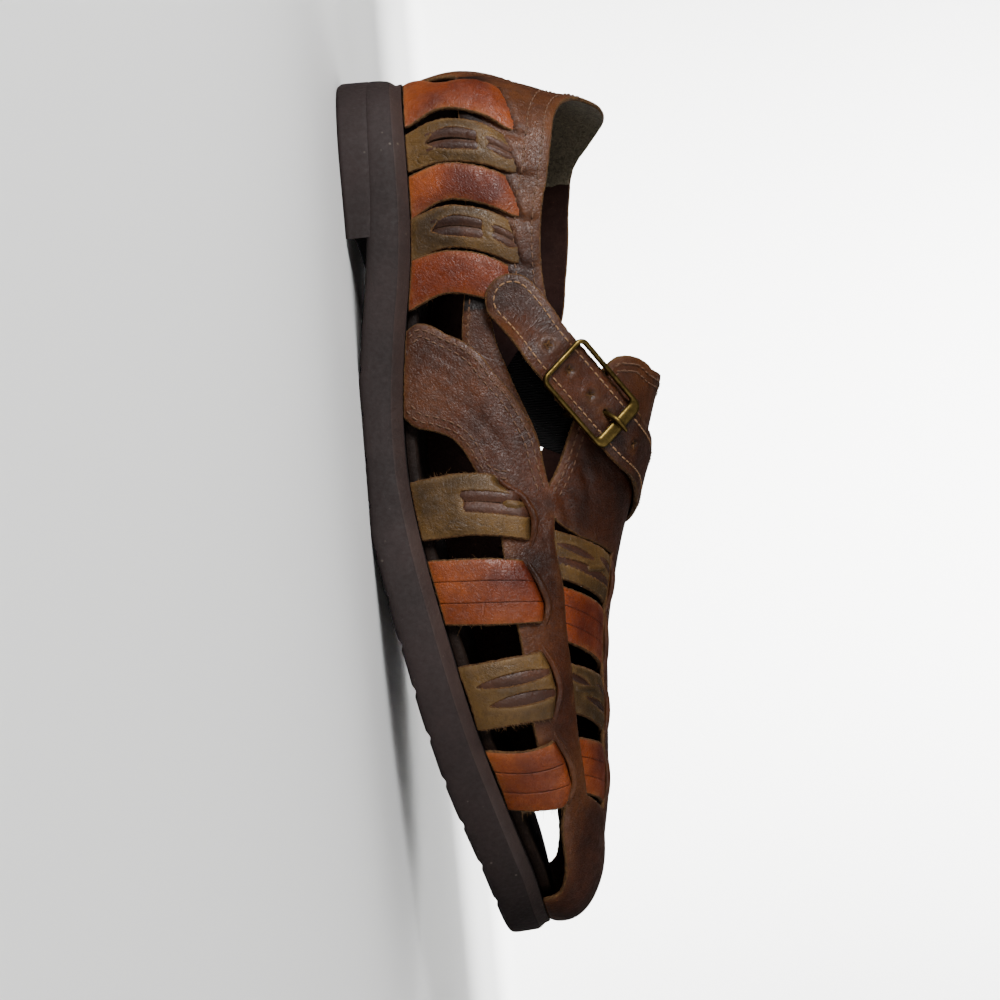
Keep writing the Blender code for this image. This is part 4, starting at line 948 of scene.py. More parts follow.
WING_FRONT = (
    # station, rise
    (152, 27.5), (150, 22), (146, 20.2), (141, 18.2), (136, 14.6), (133, 8.8), (131, 3), (128, 0),
)
INNER_WING_SHIFT = 5.0
INNER_WING_REAR = [(s + INNER_WING_SHIFT * (1 - r / 42), r) for s, r in WING_REAR]
INNER_WING_FRONT = (
    # station, rise
    (173, 56), (171, 47), (168, 38), (163, 30), (157, 24), (151.5, 18), (148.5, 11), (147, 4), (146.5, 0),
)
TOE_EDGE = (
    # station, rise of the toe opening's upper edge
    (292, 0), (288.5, 5.4), (283, 8), (272, 11), (261, 13.6), (253, 17.5),
)
FLAP_SIDE = (
    # station, rise, from the notch beside the wing to the flap's top
    (154, 42), (149, 45.6), (142, 49.3), (135, 52.4), (125, 58), (117.5, 63.2), (114.2, 68), (114.5, 75),
    (118, 83),
)
FLAP_SIDE_MEDIAL = (
    # station, rise, from the flap's top to the notch beside the wing
    (118, 82), (114.5, 74), (114.2, 67), (117.5, 61), (125, 54.5), (133, 47.5), (140, 43.2), (147, 40.5),
    (155, 40),
)
FLAP_TOP = np.vstack([below_ridge(119, 12), below_ridge_medial(119, 10)])
QUARTER_LOWER = ((93, BAND_FOOT), (106, 18.0), (118, 21), (130, 28), (143, 36), (150, 39))
QUARTER_UPPER = ((149, 41.6), (138, 40.4), (127, 36.4), (115, 31.4), (107, 28.0), (98, 25.6))
GORE = (
    (139, 38), (129, 35), (117, 31), (109, 36), (109, 48), (114, 56), (119, 65), (127, 60), (136, 55),
    (145, 51),
)
CHAPE_ROOT = ((103, 32.5), (110, 38.5), (115, 43.5), (113, 50), (108, 50.6))
INNER_QUARTER_UPPER = ((149, 41.6), (138, 40.2), (127, 37.5), (117, 35.6), (111, 35.4))
MEDIAL_ROOT = ((110, 36), (110, 41), (108.5, 46), (104, 48))
BACKSTAY = (10.0, 9.0, 12.0)
UPPER_PITCH = 1.25


def places(where, rows):
    """Plan points of a table of stations and rises on one side."""
    rows = np.array([row[:2] for row in rows], float)
    return where(rows[:, 0], rows[:, 1])


def collar_places(rows):
    """Plan points of a table whose medial stations are negative."""
    station, rise = np.array(rows, float).T
    sides = [where(np.abs(station), rise) for where in (lateral, medial)]
    return np.where((station >= 0)[:, None], *sides)


def rounded_line(plan):
    """A smooth curve through plan points, its points about a millimetre apart on the last."""
    along = distances(last_point(plan))
    return curve_at(np.linspace(0, along[-1], max(3, round(along[-1]) + 1)), along, plan)


def smooth_outline(*runs):
    """An outline of runs of places, each run a smooth curve, joined at corners."""
    return np.vstack([rounded_line(np.asarray(run)) if len(run) > 2 else np.asarray(run) for run in runs])


def band_sheet():
    """The leather round the heel with its collar, its lower fronts and the backstay."""
    fronts = (
        (lateral, (CHAPE_ROOT[::-1][1:], QUARTER_UPPER[::-1], QUARTER_LOWER[::-1])),
        (medial, (QUARTER_LOWER, INNER_QUARTER_UPPER, MEDIAL_ROOT[:-1])),
    )
    lateral_front, medial_front = ([places(where, rows) for rows in tables] for where, tables in fronts)
    lower = collar_places([(s, BAND_FOOT) for s in np.linspace(84, -84, 25)])
    band = smooth_outline(collar_places(COLLAR), *lateral_front, lower, *medial_front)
    rises = np.linspace(0, BAND_FOOT + 2, 9)
    half = hermite(rises, (0, 9, BAND_FOOT + 2), BACKSTAY)
    stay = np.vstack([lateral(half, rises), medial(half, rises)[::-1]])
    return cut_sheet([band, stay], UPPER_PITCH)


def rear_strap(where, f0, f1, w0, w1, t0, t1):
    rises = np.linspace(0, SLIT + 3, 9)
    knot, share = REAR_KNOT
    knots = (0, WAIST, knot * WAIST, SLIT)
    rear, front = (
        hermite(rises, knots, (foot, waist, waist + share * (top - waist), top))
        for foot, waist, top in ((f0, w0, t0), (f1, w1, t1))
    )
    edges = [where(rear + (front - rear) * b, rises) for b in np.linspace(0, 1, 7)]
    return Strap(edges, REAR_LIFT, crown=0.5, slant=0.1)


def front_strap(f0, f1, m0, m1, t0, t1, top):
    rises = np.linspace(0, top + 6, 9)
    knots = (0, top * 0.5, top + 6)
    edges = [lateral(hermite(rises, knots, row), rises) for row in ((f0, m0, t0), (f1, m1, t1))]
    return Strap(edges, FRONT_LIFT, crown=0.45, slits=np.transpose(SIDE_SPINE)[[0, 2]])


def cross_strap(s0, s1, i0, i1, rise):
    edges = []
    for a, b in ((s0, i0), (s1, i1)):
        k = np.linspace(0, 1, 7)
        station = a + (b - a) * k
        top = half_girth(station) - INNER_SPINE["near"] + 4
        edges.append(lateral(station, rise + (top - rise) * k))
    return Strap(edges, CROSS_LIFT, crown=0.4)


def inner_strap(f0, f1, t0, t1):
    edges = []
    for a, b, spare in ((f0, t0, -INNER_FRONT_SPARE), (f1, t1, INNER_FRONT_SPARE)):
        a, b = a + spare, b + spare
        k = np.linspace(0, 1, 9)
        station = a + (b - a) * k
        over = below_ridge(b, INNER_SPINE["far"] + 3)
        edges.append(np.vstack([medial(station, (half_girth(GIRTH - station) - 3) * k), over]))
    return Strap(edges, INNER_LIFT, crown=0.4)


def vamp_sheet():
    """The one piece of brown leather with the wings, both spines, the flap and the toe band."""
    near, far = INNER_SPINE["near"], INNER_SPINE["far"]
    wing, inner_wing = (
        smooth_outline(*(places(where, rows) for rows in tables))
        for where, tables in (
            (lateral, (WING_REAR, ((163, 41), (163, 35)), ((156, 33), (154, 30)), WING_FRONT)),
            (medial, (INNER_WING_REAR, ((160, 52), (172, 64)), INNER_WING_FRONT)),
        )
    )
    station, outer, _, inner = np.transpose(SIDE_SPINE)
    spine = smooth_outline(
        lateral(station, outer), places(lateral, ((262, 24), (262, 30))), lateral(station[::-1], inner[::-1]),
    )
    along = np.linspace(INNER_SPINE["begin"], INNER_SPINE["end"] + 4, 15)
    centre = smooth_outline(below_ridge(along, near), below_ridge(along[::-1], far))
    sole_line = np.linspace(GIRTH - 292, 292, 40)[1:-1]
    toe = smooth_outline(
        places(lateral, TOE_EDGE), lateral(253, 27.6), below_ridge(262, near), below_ridge_medial(256, 12),
        medial(255, 30), medial(255, 17.5), places(medial, TOE_EDGE[::-1])[1:],
        lateral(sole_line, 0 * sole_line),
    )
    flap = smooth_outline(
        places(lateral, FLAP_SIDE), FLAP_TOP, places(medial, FLAP_SIDE_MEDIAL),
        places(medial, ((168, 50), (173, 62))), below_ridge_medial(177, 6), below_ridge(179, 10),
        below_ridge(176, 24), places(lateral, ((170, 50), (164, 42), (160, 40.5))),
    )
    return cut_sheet([wing, inner_wing, spine, centre, toe, flap], UPPER_PITCH)


# ---------------------------------------------------------------- the upper's pieces

PANEL_LOW, PANEL_THICK = 0.8, 1.7
BAND_LOW = 0.2
HEEL_BOW, HEEL_BOW_REACH = 2.4, 13
SLIT_SWELL = 1.0
SUEDE_STATION, SUEDE_RISE = 46, 24
SLOTS = dict(
    upper="upper_leather", outsole="sole_rubber", heel="sole_rubber", insole="insole_leather",
    instep_strap="strap_leather", buckle_chape="strap_leather", buckle_frame="antique_brass",
    buckle_prong="antique_brass",
)
pieces = {node_name: [] for node_name in SLOTS}
UPPER_CREASES = (
    # side, places along the crease (station, rise), width, depth
    (lateral, ((118, 8), (124, 16), (134, 24)), 1.5, 0.16),
    (lateral, ((106, 5), (113, 15), (122, 25)), 1.0, 0.15),
    (lateral, ((110, 4), (118, 15), (129, 26)), 1.1, 0.17),
    (lateral, ((104, 9), (110, 17), (117, 24)), 0.8, 0.16),
    (lateral, ((107, 12), (114, 20), (124, 28)), 0.9, 0.18),
    (lateral, ((128, 21), (136, 27), (147, 33)), 1.4, 0.24),
    (lateral, ((124, 10), (131, 18), (141, 26)), 1.0, 0.18),
    (lateral, ((136, 26), (143, 30), (150, 31)), 0.9, 0.2),
    (lateral, ((140, 36), (148, 37), (156, 37)), 1.0, 0.22),
    (lateral, ((158, 36), (168, 37), (178, 35)), 0.9, 0.2),
    (lateral, ((150, 45), (156, 49), (160, 56)), 1.0, 0.25),
    (lateral, ((146, 50), (152, 55), (155, 63)), 0.9, 0.22),
    (lateral, ((112, 22), (124, 25), (138, 31)), 2.4, -0.2),
    (lateral, ((153, 44), (160, 46), (170, 47)), 1.5, 0.5),
    (lateral, ((126, 62), (136, 60), (148, 57)), 1.8, 0.45),
    (lateral, ((122, 70), (134, 68), (146, 66)), 1.8, 0.35),
    (lateral, ((140, 52), (150, 55), (163, 56)), 1.5, 0.45),
    (medial, ((118, 8), (126, 20), (140, 34)), 1.8, 0.4),
    (medial, ((130, 10), (142, 24), (156, 40)), 1.8, 0.4),
    (lateral, ((262, 26), (268, 32), (276, 36)), 1.8, 0.4),
    (lateral, ((268, 16), (276, 24), (288, 30)), 1.6, 0.35),
    (lateral, ((181, 31), (181.5, 35), (182, 39)), 1.2, 0.45),
    (lateral, ((201, 29), (201, 33), (202, 37)), 1.2, 0.5),
    (lateral, ((229, 24), (229, 28), (230, 32)), 1.2, 0.5),
)
BAND_CREASES = (
    (lateral, ((44, 34), (43, 38), (41, 42)), 1.3, 0.35),
    (lateral, ((56, 34), (56, 37), (55, 41)), 1.3, 0.35),
    (lateral, ((70, 34), (70, 36), (69, 39)), 1.3, 0.35),
    (lateral, ((9, 26), (10, 38), (8, 52)), 1.8, 0.4),
    (medial, ((20, 40), (26, 46), (36, 48)), 1.8, 0.3),
)
SURFACES = {}


def keep(node_name, made):
    pieces[node_name].append(made)


def remember(name, made):
    """Keeps a piece's face and cut edges for seams to lie on."""
    mesh = made.data
    points = np.empty(len(mesh.vertices) * 3)
    mesh.vertices.foreach_get("co", points)
    points = points.reshape(-1, 3) / MM + ORIGIN
    faces = [tuple(p.vertices) for p in mesh.polygons if p.material_index in (0, 2)]
    SURFACES[name] = BVHTree.FromPolygons(points.tolist(), faces)


def band_piece():
    """The band swells over the straps' ends, has painted shade behind its slits and low down between the
    straps, and is suede inside the heel.
    """
    plan, faces = band_sheet()
    points, normals = last_point(plan), last_normal(plan)
    u, share = from_plan(plan)
    station = np.where(u > GIRTH / 2, GIRTH - u, u)
    rise = share * half_girth(u)
    low = np.full(len(points), BAND_LOW)
    bow = np.clip(1 - (station / HEEL_BOW_REACH) ** 2, 0, 1)
    low += HEEL_BOW * np.sin(np.pi * np.clip(rise / 36, 0, 1)) * bow
    shade = np.zeros(len(points))
    for *_, t0, t1 in REAR_STRAPS:
        across = (station - t0) / (t1 - t0)
        within = np.clip(np.minimum(across, 1 - across) / 0.08 + 1, 0, 1)
        above = rise - SLIT - 4 * (across - 0.5)
        low += within * SLIT_SWELL * bump_at(above - 1.0, 3.2) * (above > -1.0)
        # Painted shadow just behind each slit.
        shade = np.maximum(shade, within * 0.9 * bump_at(above + 1.2, 0.9))
    # Painted shade on the band's lower part, which lies in shadow between the straps.
    shade = np.maximum(shade, 0.9 * np.clip((29 - rise) / 6, 0, 1) * (station > 13) * (station < 96))
    low += crease_depth(points, BAND_CREASES)
    low += waves(points, 5.0, 0.15)
    faces = outward_faces(points, normals, faces)
    made = shell("quarter_band", points, normals, low, low + PANEL_THICK, faces, (BROWN, LINING, RAW, SUEDE),
                 rough=0.15, shade=shade)
    suede = (np.abs(station) < SUEDE_STATION) & (rise > SUEDE_RISE)
    for k, face in enumerate(faces, start=len(faces)):
        if suede[face].all():
            made.data.polygons[k].material_index = 3
    remember("band", made)
    keep("upper", made)


def vamp_piece():
    plan, faces = vamp_sheet()
    points, normals = last_point(plan), last_normal(plan)
    low = np.full(len(points), PANEL_LOW)
    low += crease_depth(points, UPPER_CREASES)
    low += waves(points, 11.0, 0.14)
    made = shell("vamp", points, normals, low, low + PANEL_THICK, outward_faces(points, normals, faces),
                 (BROWN, LINING, RAW), rough=0.25)
    remember("vamp", made)
    keep("upper", made)


WOVEN = (
    # Which straps.  Then their openings: a and b of both ends, width, how blunt each end is.  Then the brown
    # strips that show in them: a and b of both ends, width.  Then olive strips over them.
    ("rear_olive",
     ((0.17, 0.5, 0.62, 0.5, 7.0, 0.1, 0.85), (0.71, 0.46, 0.95, 0.52, 5.6, 0.8, 0.3)),
     ((0.12, 0.33, 0.66, 0.33, 3.7), (0.12, 0.67, 0.66, 0.65, 3.7), (0.66, 0.32, 0.98, 0.42, 3.0),
      (0.66, 0.6, 0.98, 0.62, 3.0)),
     ()),
    ("lateral_olive_1",
     ((0.39, 0.46, 0.92, 0.48, 7.6, 0.95, 0.85),),
     ((0.33, 0.355, 0.98, 0.33, 4.0), (0.33, 0.57, 0.98, 0.6, 4.1)),
     ((0.7, 0.46, 0.96, 0.47, 2.4),)),
    ("lateral_olive_2",
     ((0.1, 0.34, 0.8, 0.3, 4.4, 0.1, 0.3), (0.16, 0.66, 0.8, 0.62, 4.4, 0.1, 0.3)),
     ((0.06, 0.34, 0.84, 0.3, 4.8), (0.12, 0.66, 0.84, 0.62, 4.8)),
     ()),
    ("cross_olive_1",
     ((0.06, 0.6, 0.9, 0.64, 3.6, 0.3, 0.4), (0.14, 0.27, 0.52, 0.33, 3.2, 0.1, 0.2),
      (0.6, 0.22, 0.92, 0.36, 3.2, 0.2, 0.3)),
     ((0.03, 0.6, 0.95, 0.64, 4.0), (0.1, 0.27, 0.56, 0.33, 3.6), (0.57, 0.21, 0.96, 0.37, 3.6)),
     ((0.4, 0.62, 0.72, 0.36, 2.6),)),
    ("cross_olive_2",
     ((0.06, 0.24, 0.38, 0.34, 3.4, 0.7, 0.1), (0.5, 0.24, 0.94, 0.4, 3.0, 0.1, 0.3),
      (0.25, 0.62, 0.92, 0.68, 3.2, 0.1, 0.3)),
     ((0.03, 0.24, 0.42, 0.34, 3.8), (0.46, 0.24, 0.97, 0.4, 3.4), (0.21, 0.62, 0.96, 0.68, 3.6)),
     ((0.12, 0.52, 0.5, 0.36, 2.6),)),
    ("medial_inner_olive",
     ((0.3, 0.33, 0.8, 0.33, 4.0, 0.1, 0.5), (0.3, 0.67, 0.8, 0.67, 4.0, 0.1, 0.5)),
     ((0.26, 0.33, 0.84, 0.33, 4.4), (0.26, 0.67, 0.84, 0.67, 4.4)),
     ()),
)


SCORES = (0.34, 0.68)
REAR_FOLDS = ((0.62, 0.3), (0.7, 0.2))
STRIP_THICK = 0.9


def woven_strip(name, strap, a0, b0, a1, b1, width, sunk, finishes):
    """A strip drawn through a strap: its ends go under, and it bulges in between."""
    t = np.linspace(0, 1, 30)
    a, b = a0 + (a1 - a0) * t, b0 + (b1 - b0) * t
    body = np.clip(np.sin(np.pi * t) * 3, 0, 1) ** 0.8
    widths = width * (0.8 + 0.2 * body)
    lows = strap.level(a, b) + PANEL_THICK - STRIP_THICK - sunk - STRIP_THICK * (1 - body)
    return ribbon(name, strap.plan(a, b), widths, lows, STRIP_THICK, finishes, crown=0.55, rough=0.08)


def strap_pieces():
    tan, olive = (TAN, LINING, RAW), (OLIVE, LINING, RAW)
    made = {}
    for name, *row in REAR_STRAPS:
        made[f"lateral_{name}"] = rear_strap(lateral, *row)
        spared = [edge + spare for edge, spare in zip(row, INNER_SPARE)]
        row = dict(rear_tan_1=INNER_REAR_TAN_1, rear_tan_3=INNER_REAR_TAN_3).get(name, spared)
        made[f"medial_{name}"] = rear_strap(medial, *row)
    made |= {f"lateral_{name}": front_strap(*row) for name, *row in FRONT_STRAPS}
    made |= {name: cross_strap(*row) for name, *row in CROSS_STRAPS}
    made |= {f"medial_{name}": inner_strap(*row) for name, *row in INNER_STRAPS}
    for name, strap in made.items():
        is_tan, is_rear = "tan" in name, "rear" in name
        windows, under, over = next((row[1:] for row in WOVEN if row[0] in name), ((), (), ()))
        keep("upper", strap.mesh(
            name, tan if is_tan else olive, SCORES if is_tan and not is_rear else (), windows,
            REAR_FOLDS if is_tan and is_rear else (),
        ))
        for kind, rows, sunk, finishes in (
            ("strip", under, 0.5, (LACE, LINING, DARK_EDGE)), ("over", over, 0.1, olive),
        ):
            for k, row in enumerate(rows, start=1):
                keep("upper", woven_strip(f"{name}_{kind}_{k}", strap, *row, sunk, finishes))
    fibres("loose_fibres", made)


FRAYED = (
    # strap, edge across it, where along it, number of fibres, their length
    ("lateral_olive_1", 0.0, 0.05, 0.9, 90, 1.1), ("lateral_olive_1", 1.0, 0.1, 0.9, 40, 0.8),
    ("lateral_tan_1", 0.0, 0.2, 0.7, 30, 0.9), ("lateral_tan_1", 1.0, 0.1, 0.95, 60, 1.3),
    ("lateral_olive_2", 0.0, 0.1, 0.9, 40, 0.8), ("lateral_olive_2", 1.0, 0.05, 0.98, 130, 1.2),
    ("lateral_tan_2", 0.0, 0.05, 0.9, 50, 0.9), ("lateral_tan_2", 1.0, 0.1, 0.98, 130, 1.3),
    ("lateral_rear_tan_2", 1.0, 0.1, 0.9, 40, 0.7), ("lateral_rear_tan_3", 1.0, 0.1, 0.9, 50, 0.8),
)
# Rings of a fibre: how far along it, and its radius.  Then the corners of each ring, in radians.
FIBRE_RINGS = ((-0.2, 0.07), (0.35, 0.055), (0.7, 0.045), (1.0, 0.02))
FIBRE_CORNERS = (0, 2.1, 4.2)
FIBRE_BEND = 0.6


def fibres(name, straps):
    """Loose fibres that stand out from frayed edges."""
    dice = np.random.default_rng(11)
    points, faces = [], []
    for key, b, a0, a1, count, length in FRAYED:
        strap = straps[key]
        a = np.sort(dice.uniform(a0, a1, count))
        edge, within = np.full(count, b), np.full(count, abs(b - 0.15))
        plan = strap.plan(a, edge)
        up = last_normal(plan)
        height = strap.level(a, edge) + PANEL_THICK * dice.uniform(0.3, 0.9, count)
        root = last_point(plan) + up * height[:, None]
        out = unit(root - last_point(strap.plan(a, within)))
        side = np.cross(up, out)
        lean = out + side * dice.normal(0, 0.8, count)[:, None] + up * dice.normal(0.1, 0.4, count)[:, None]
        bend = side * dice.normal(0, 0.5, count)[:, None] + up * dice.normal(0, 0.5, count)[:, None]
        long = length * dice.gamma(2.2, 0.4, count)
        for k in range(count):
            start = len(points)
            for t, thick in FIBRE_RINGS:
                middle = root[k] + (unit(lean[k]) * t + bend[k] * t * t * FIBRE_BEND) * long[k]
                for angle in FIBRE_CORNERS:
                    points.append(middle + (side[k] * math.cos(angle) + up[k] * math.sin(angle)) * thick)
            faces += ring_faces(len(FIBRE_RINGS), len(FIBRE_CORNERS), start)
            faces += [(start + 2, start + 1, start), (start + 9, start + 10, start + 11)]
    keep("upper", add_mesh(name, points, faces, (FIBRE,)))


def lip(name, first, last, count, place, wide, high):
    """A raised leather rim; place gives its line for stations and how far the rim bends up at each."""
    s = np.linspace(first, last, count)
    bend = np.sin(np.pi * (s - s[0]) / (s[-1] - s[0])) ** 0.6
    keep("upper", ribbon(f"lip_{name}", place(s, bend), 0.6 + wide * bend, 0.3 + high * bend, 1.1,
                         (BROWN, LINING, BROWN), crown=0.5))


def on_side_spine(s, bend):
    station, _, rise, _ = np.transpose(SIDE_SPINE)
    rise = np.interp(s, station, rise) - 1.0 + 1.2 * bend
    return lateral(s, np.convolve(np.pad(rise, 3, mode="edge"), np.ones(7) / 7, "valid"))


def on_inner_spine(s, bend):
    return below_ridge(s, INNER_SPINE["near"] - 0.4 - 1.0 * bend)


def lip_pieces():
    """The rims of the slits over the straps' upper ends, on both spines."""
    for name, _, _, _, _, t0, t1, _ in FRONT_STRAPS:
        lip(name, t0 - 2.6, t1 + 2.6, 38, on_side_spine, 1.5, 2.6)
    for name, _, _, i0, i1, _ in CROSS_STRAPS:
        lip(name, i0 - 1.5, i1 + 1.5, 30, on_inner_spine, 1.4, 2.1)


def gore_piece():
    """The elastic gore that closes the throat beside the flap."""
    plan, faces = cut_sheet([places(lateral, GORE)], 1.4)
    points, normals = last_point(plan), last_normal(plan)
    faces = outward_faces(points, normals, faces)
    low = np.full(len(points), -0.5)
    keep("upper", shell("elastic_gore", points, normals, low, low + 1.1, faces, (ELASTIC,) * 3))


band_piece()
vamp_piece()
strap_pieces()
lip_pieces()
gore_piece()


# ---------------------------------------------------------------- stitching

SEAM_LIFT = 0.12
SEAM_PROBE = 2.0
STITCH_ROWS, STITCH_SIDES = 7, 6
STITCH_SINK = 0.28
STITCH_SIZES = (0.85, 1.1)
STITCH_SEED = 3


def inset_path(surface, plan, inset):
    """A seam this far to the left of a line of places, laid on the surface of a piece, with its normals."""
    line = rounded_line(plan)
    points, normals = last_point(line), last_normal(line)
    left = unit(np.cross(normals, np.gradient(points, axis=0)))
    shifted = points + left * inset + normals * SEAM_PROBE
    found = [SURFACES[surface].find_nearest(Vector(p)) for p in shifted]
    where, up = (np.array([hit[k] for hit in found]) for k in (0, 1))
    up = unit(np.where(((up * normals).sum(axis=1) > 0)[:, None], up, normals) + normals)
    return where + up * SEAM_LIFT, up


def stitch_mesh(length, width, tall):
    """One stitch: a short thread that rises from its two holes."""
    points = []
    for k in np.linspace(-1, 1, STITCH_ROWS):
        arch = tall * (1 - abs(k) ** 3) - STITCH_SINK
        girth = width / 2 * (0.75 + 0.25 * math.sqrt(max(0.0, 1 - k * k)))
        for n in range(STITCH_SIDES):
            angle = math.tau * n / STITCH_SIDES
            points.append((k * length / 2, girth * math.cos(angle), arch + 0.8 * girth * math.sin(angle)))
    first, last = range(STITCH_SIDES), range(len(points) - STITCH_SIDES, len(points))
    faces = [*ring_faces(STITCH_ROWS, STITCH_SIDES), tuple(first)[::-1], tuple(last)]
    return in_scene("stitch", smooth_mesh("stitch", np.array(points) * MM, faces))


def stitch_tree():
    """Geometry nodes that lay a stitch at every pitch along the seams, standing on the attribute "up"."""
    tree = bpy.data.node_groups.new("stitch_rows", "GeometryNodeTree")
    face = tree.interface
    face.new_socket("Seams", in_out="INPUT", socket_type="NodeSocketGeometry")
    sockets = {
        name: face.new_socket(name, in_out="INPUT", socket_type=kind).identifier
        for name, kind in (("Stitch", "NodeSocketObject"), ("Pitch", "NodeSocketFloat"),
                           ("Finish", "NodeSocketMaterial"), ("Seed", "NodeSocketInt"))
    }
    face.new_socket("Stitches", in_out="OUTPUT", socket_type="NodeSocketGeometry")

    def add(kind, links=(), **settings):
        made = tree.nodes.new(kind)
        for key, value in settings.items():
            setattr(made, key, value)
        for key, source in dict(links).items():
            tree.links.new(source, made.inputs[key])
        return made

    given = add("NodeGroupInput")
    curve = add("GeometryNodeMeshToCurve", {"Mesh": given.outputs["Seams"]})
    even = add("GeometryNodeResampleCurve", {"Curve": curve.outputs[0], "Length": given.outputs["Pitch"]},
               mode="LENGTH")
    tangent = add("GeometryNodeInputTangent")
    up = add("GeometryNodeInputNamedAttribute", data_type="FLOAT_VECTOR")
    up.inputs["Name"].default_value = "up"
    along = add("FunctionNodeAlignRotationToVector", {"Vector": tangent.outputs[0]}, axis="X")
    upright = add("FunctionNodeAlignRotationToVector",
                  {"Rotation": along.outputs[0], "Vector": up.outputs[0]}, axis="Z", pivot_axis="X")
    stitch = add("GeometryNodeObjectInfo", {"Object": given.outputs["Stitch"]})
    vary = add("FunctionNodeRandomValue", {"Seed": given.outputs["Seed"]}, data_type="FLOAT")
    vary.inputs[2].default_value, vary.inputs[3].default_value = STITCH_SIZES
    laid = add("GeometryNodeInstanceOnPoints", {
        "Points": even.outputs[0], "Instance": stitch.outputs["Geometry"], "Rotation": upright.outputs[0],
        "Scale": vary.outputs[1],
    })
    real = add("GeometryNodeRealizeInstances", {"Geometry": laid.outputs[0]})
    painted = add("GeometryNodeSetMaterial",
                  {"Geometry": real.outputs[0], "Material": given.outputs["Finish"]})
    add("NodeGroupOutput", {0: painted.outputs[0]})
    return tree, sockets


STITCH_TREE, STITCH_INPUTS = stitch_tree()
STITCH = stitch_mesh(2.0, 0.55, 0.36)


def stitched(name, paths, finish, pitch=2.6):
    """A row of stitches along each path of points and upward directions."""
    points, ups = (np.vstack(parts) for parts in zip(*paths))
    edges = [edge for ids in loop_ids([line for line, _ in paths]) for edge in zip(ids, ids[1:])]
    mesh = smooth_mesh(name, (points - ORIGIN) * MM, [], edges)
    mesh.attributes.new("up", "FLOAT_VECTOR", "POINT").data.foreach_set("vector", ups.ravel())
    seams = in_scene(name + "_seams", mesh)
    step = seams.modifiers.new("stitches", "NODES")
    step.node_group = STITCH_TREE
    given = {"Stitch": STITCH, "Pitch": pitch * MM, "Finish": finish, "Seed": STITCH_SEED}
    for key, value in given.items():
        step[STITCH_INPUTS[key]] = value
    graph = bpy.context.evaluated_depsgraph_get()
    done = bpy.data.meshes.new_from_object(seams.evaluated_get(graph))
    done.name = name
    bpy.data.objects.remove(seams)
    return in_scene(name, done)


SEAMS = (
    # piece, side, rows of places, distances to the left of the line
    ("band", None, COLLAR, (-2.6, -8.0)),
    ("vamp", lateral, WING_REAR, (-1.8, -4.0)),
    ("vamp", lateral, WING_FRONT, (-1.8, -4.0)),
    ("vamp", lateral, FLAP_SIDE[:-1], (-1.9, -4.2)),
    ("vamp", medial, FLAP_SIDE_MEDIAL[1:], (-1.9, -4.2)),
    ("vamp", medial, INNER_WING_REAR, (1.8, 4.0)),
    ("vamp", medial, INNER_WING_FRONT, (1.8, 4.0)),
    ("band", lateral, QUARTER_LOWER, (1.6,)),
    ("band", lateral, ((10.5, 22), (11.5, 30), (11, 40), (9, 50)), (0.0,)),
)


def seam_paths():
    paths = []
    for surface, where, rows, insets in SEAMS:
        plan = collar_places(rows) if where is None else places(where, rows)
        paths += [inset_path(surface, plan, inset) for inset in insets]
    top = np.vstack([places(lateral, FLAP_SIDE[-3:]), FLAP_TOP, places(medial, FLAP_SIDE_MEDIAL[:3])])
    return paths + [inset_path("vamp", top, inset) for inset in (-1.9, -4.2)]


keep("upper", stitched("upper_stitching", seam_paths(), THREAD))


# ---------------------------------------------------------------- sole unit

SOLE_TREAD = dict(
    x=(-6, 0, 50, 70, 88, 97, 106, 151, 155, 162, 171, 181, 190, 199, 208, 217, 227, 237, 247, 258, 270, 284,
       296),
    z=(9.4, 9.2, 7.4, 5.0, 2.3, 0.9, 0, 0, 0.5, 1.9, 3.5, 5.3, 7.3, 9.0, 10.8, 12.9, 15.2, 17.9, 20.8, 23.9,
       26.6, 29.3, 31.3),
)
SOLE_LEVELS = (
    # outward from the feather line, and how far below the seat or above the tread
    (2.4, "below", 0.0), (2.9, "below", 0.5), (4.0, "below", 1.8), (4.9, "below", 2.9),
    (5.3, "below", 3.5), (5.75, "below", 4.5), (6.05, "above", 5.0), (6.2, "above", 2.6),
    (6.1, "above", 1.2), (5.8, "above", 0.45), (5.2, "above", 0.0),
)
SOLE_BEVEL_LEVELS = 4
LEAST_SOLE = 5.0
HEEL_LEVELS = (
    # outward from the feather line, and how far below the sole or above the floor
    (5.1, "below", 0.2), (5.85, "below", -0.3), (6.12, "below", -0.95), (6.22, "below", -0.75),
    (6.25, "below", 0.75), (6.3, "above", 1.5), (6.2, "above", 0.7), (5.7, "above", 0.15),
    (5.2, "above", 0.0),
)
INSOLE_LEVELS = (
    # outward from the feather line, and above the seat
    (-2.9, 3.8), (-2.2, 3.6), (-1.7, 3.1), (-1.6, 2.2), (-1.6, 1.1), (-2.0, 0.3),
)
# How much a wide outline is taken in at the toe and the heel, where that starts and over what length.
TOE_TRIM, TOE_TRIM_X, TOE_TRIM_RUN = 1.0, 250, 33
HEEL_TRIM, HEEL_TRIM_X, HEEL_TRIM_RUN = 2.4, 20, 15
WIDE_FROM, WIDE_OVER = 2.6, 1.5
SEAT_GAP, SEAT_TOE_GAP, SEAT_TOE_X, SEAT_TOE_RUN = 0.75, 0.6, 262, 14
HEEL_BREAST_X, HEEL_BREAST_SAG, HEEL_BREAST_SLANT = 56.0, 5.5, 3.0
HEEL_REAR_BEVEL, HEEL_REAR_X, HEEL_REAR_RUN = 2.0, 6, 8
HEEL_BREAST_REACH, HEEL_BREAST_FROM = 31.0, 33
GROOVE, GROOVE_DEPTH, GROOVE_INNER = 4.0, 0.7, 1.3
HEEL_RIM, HEEL_FOOT = 6.0, 3.0
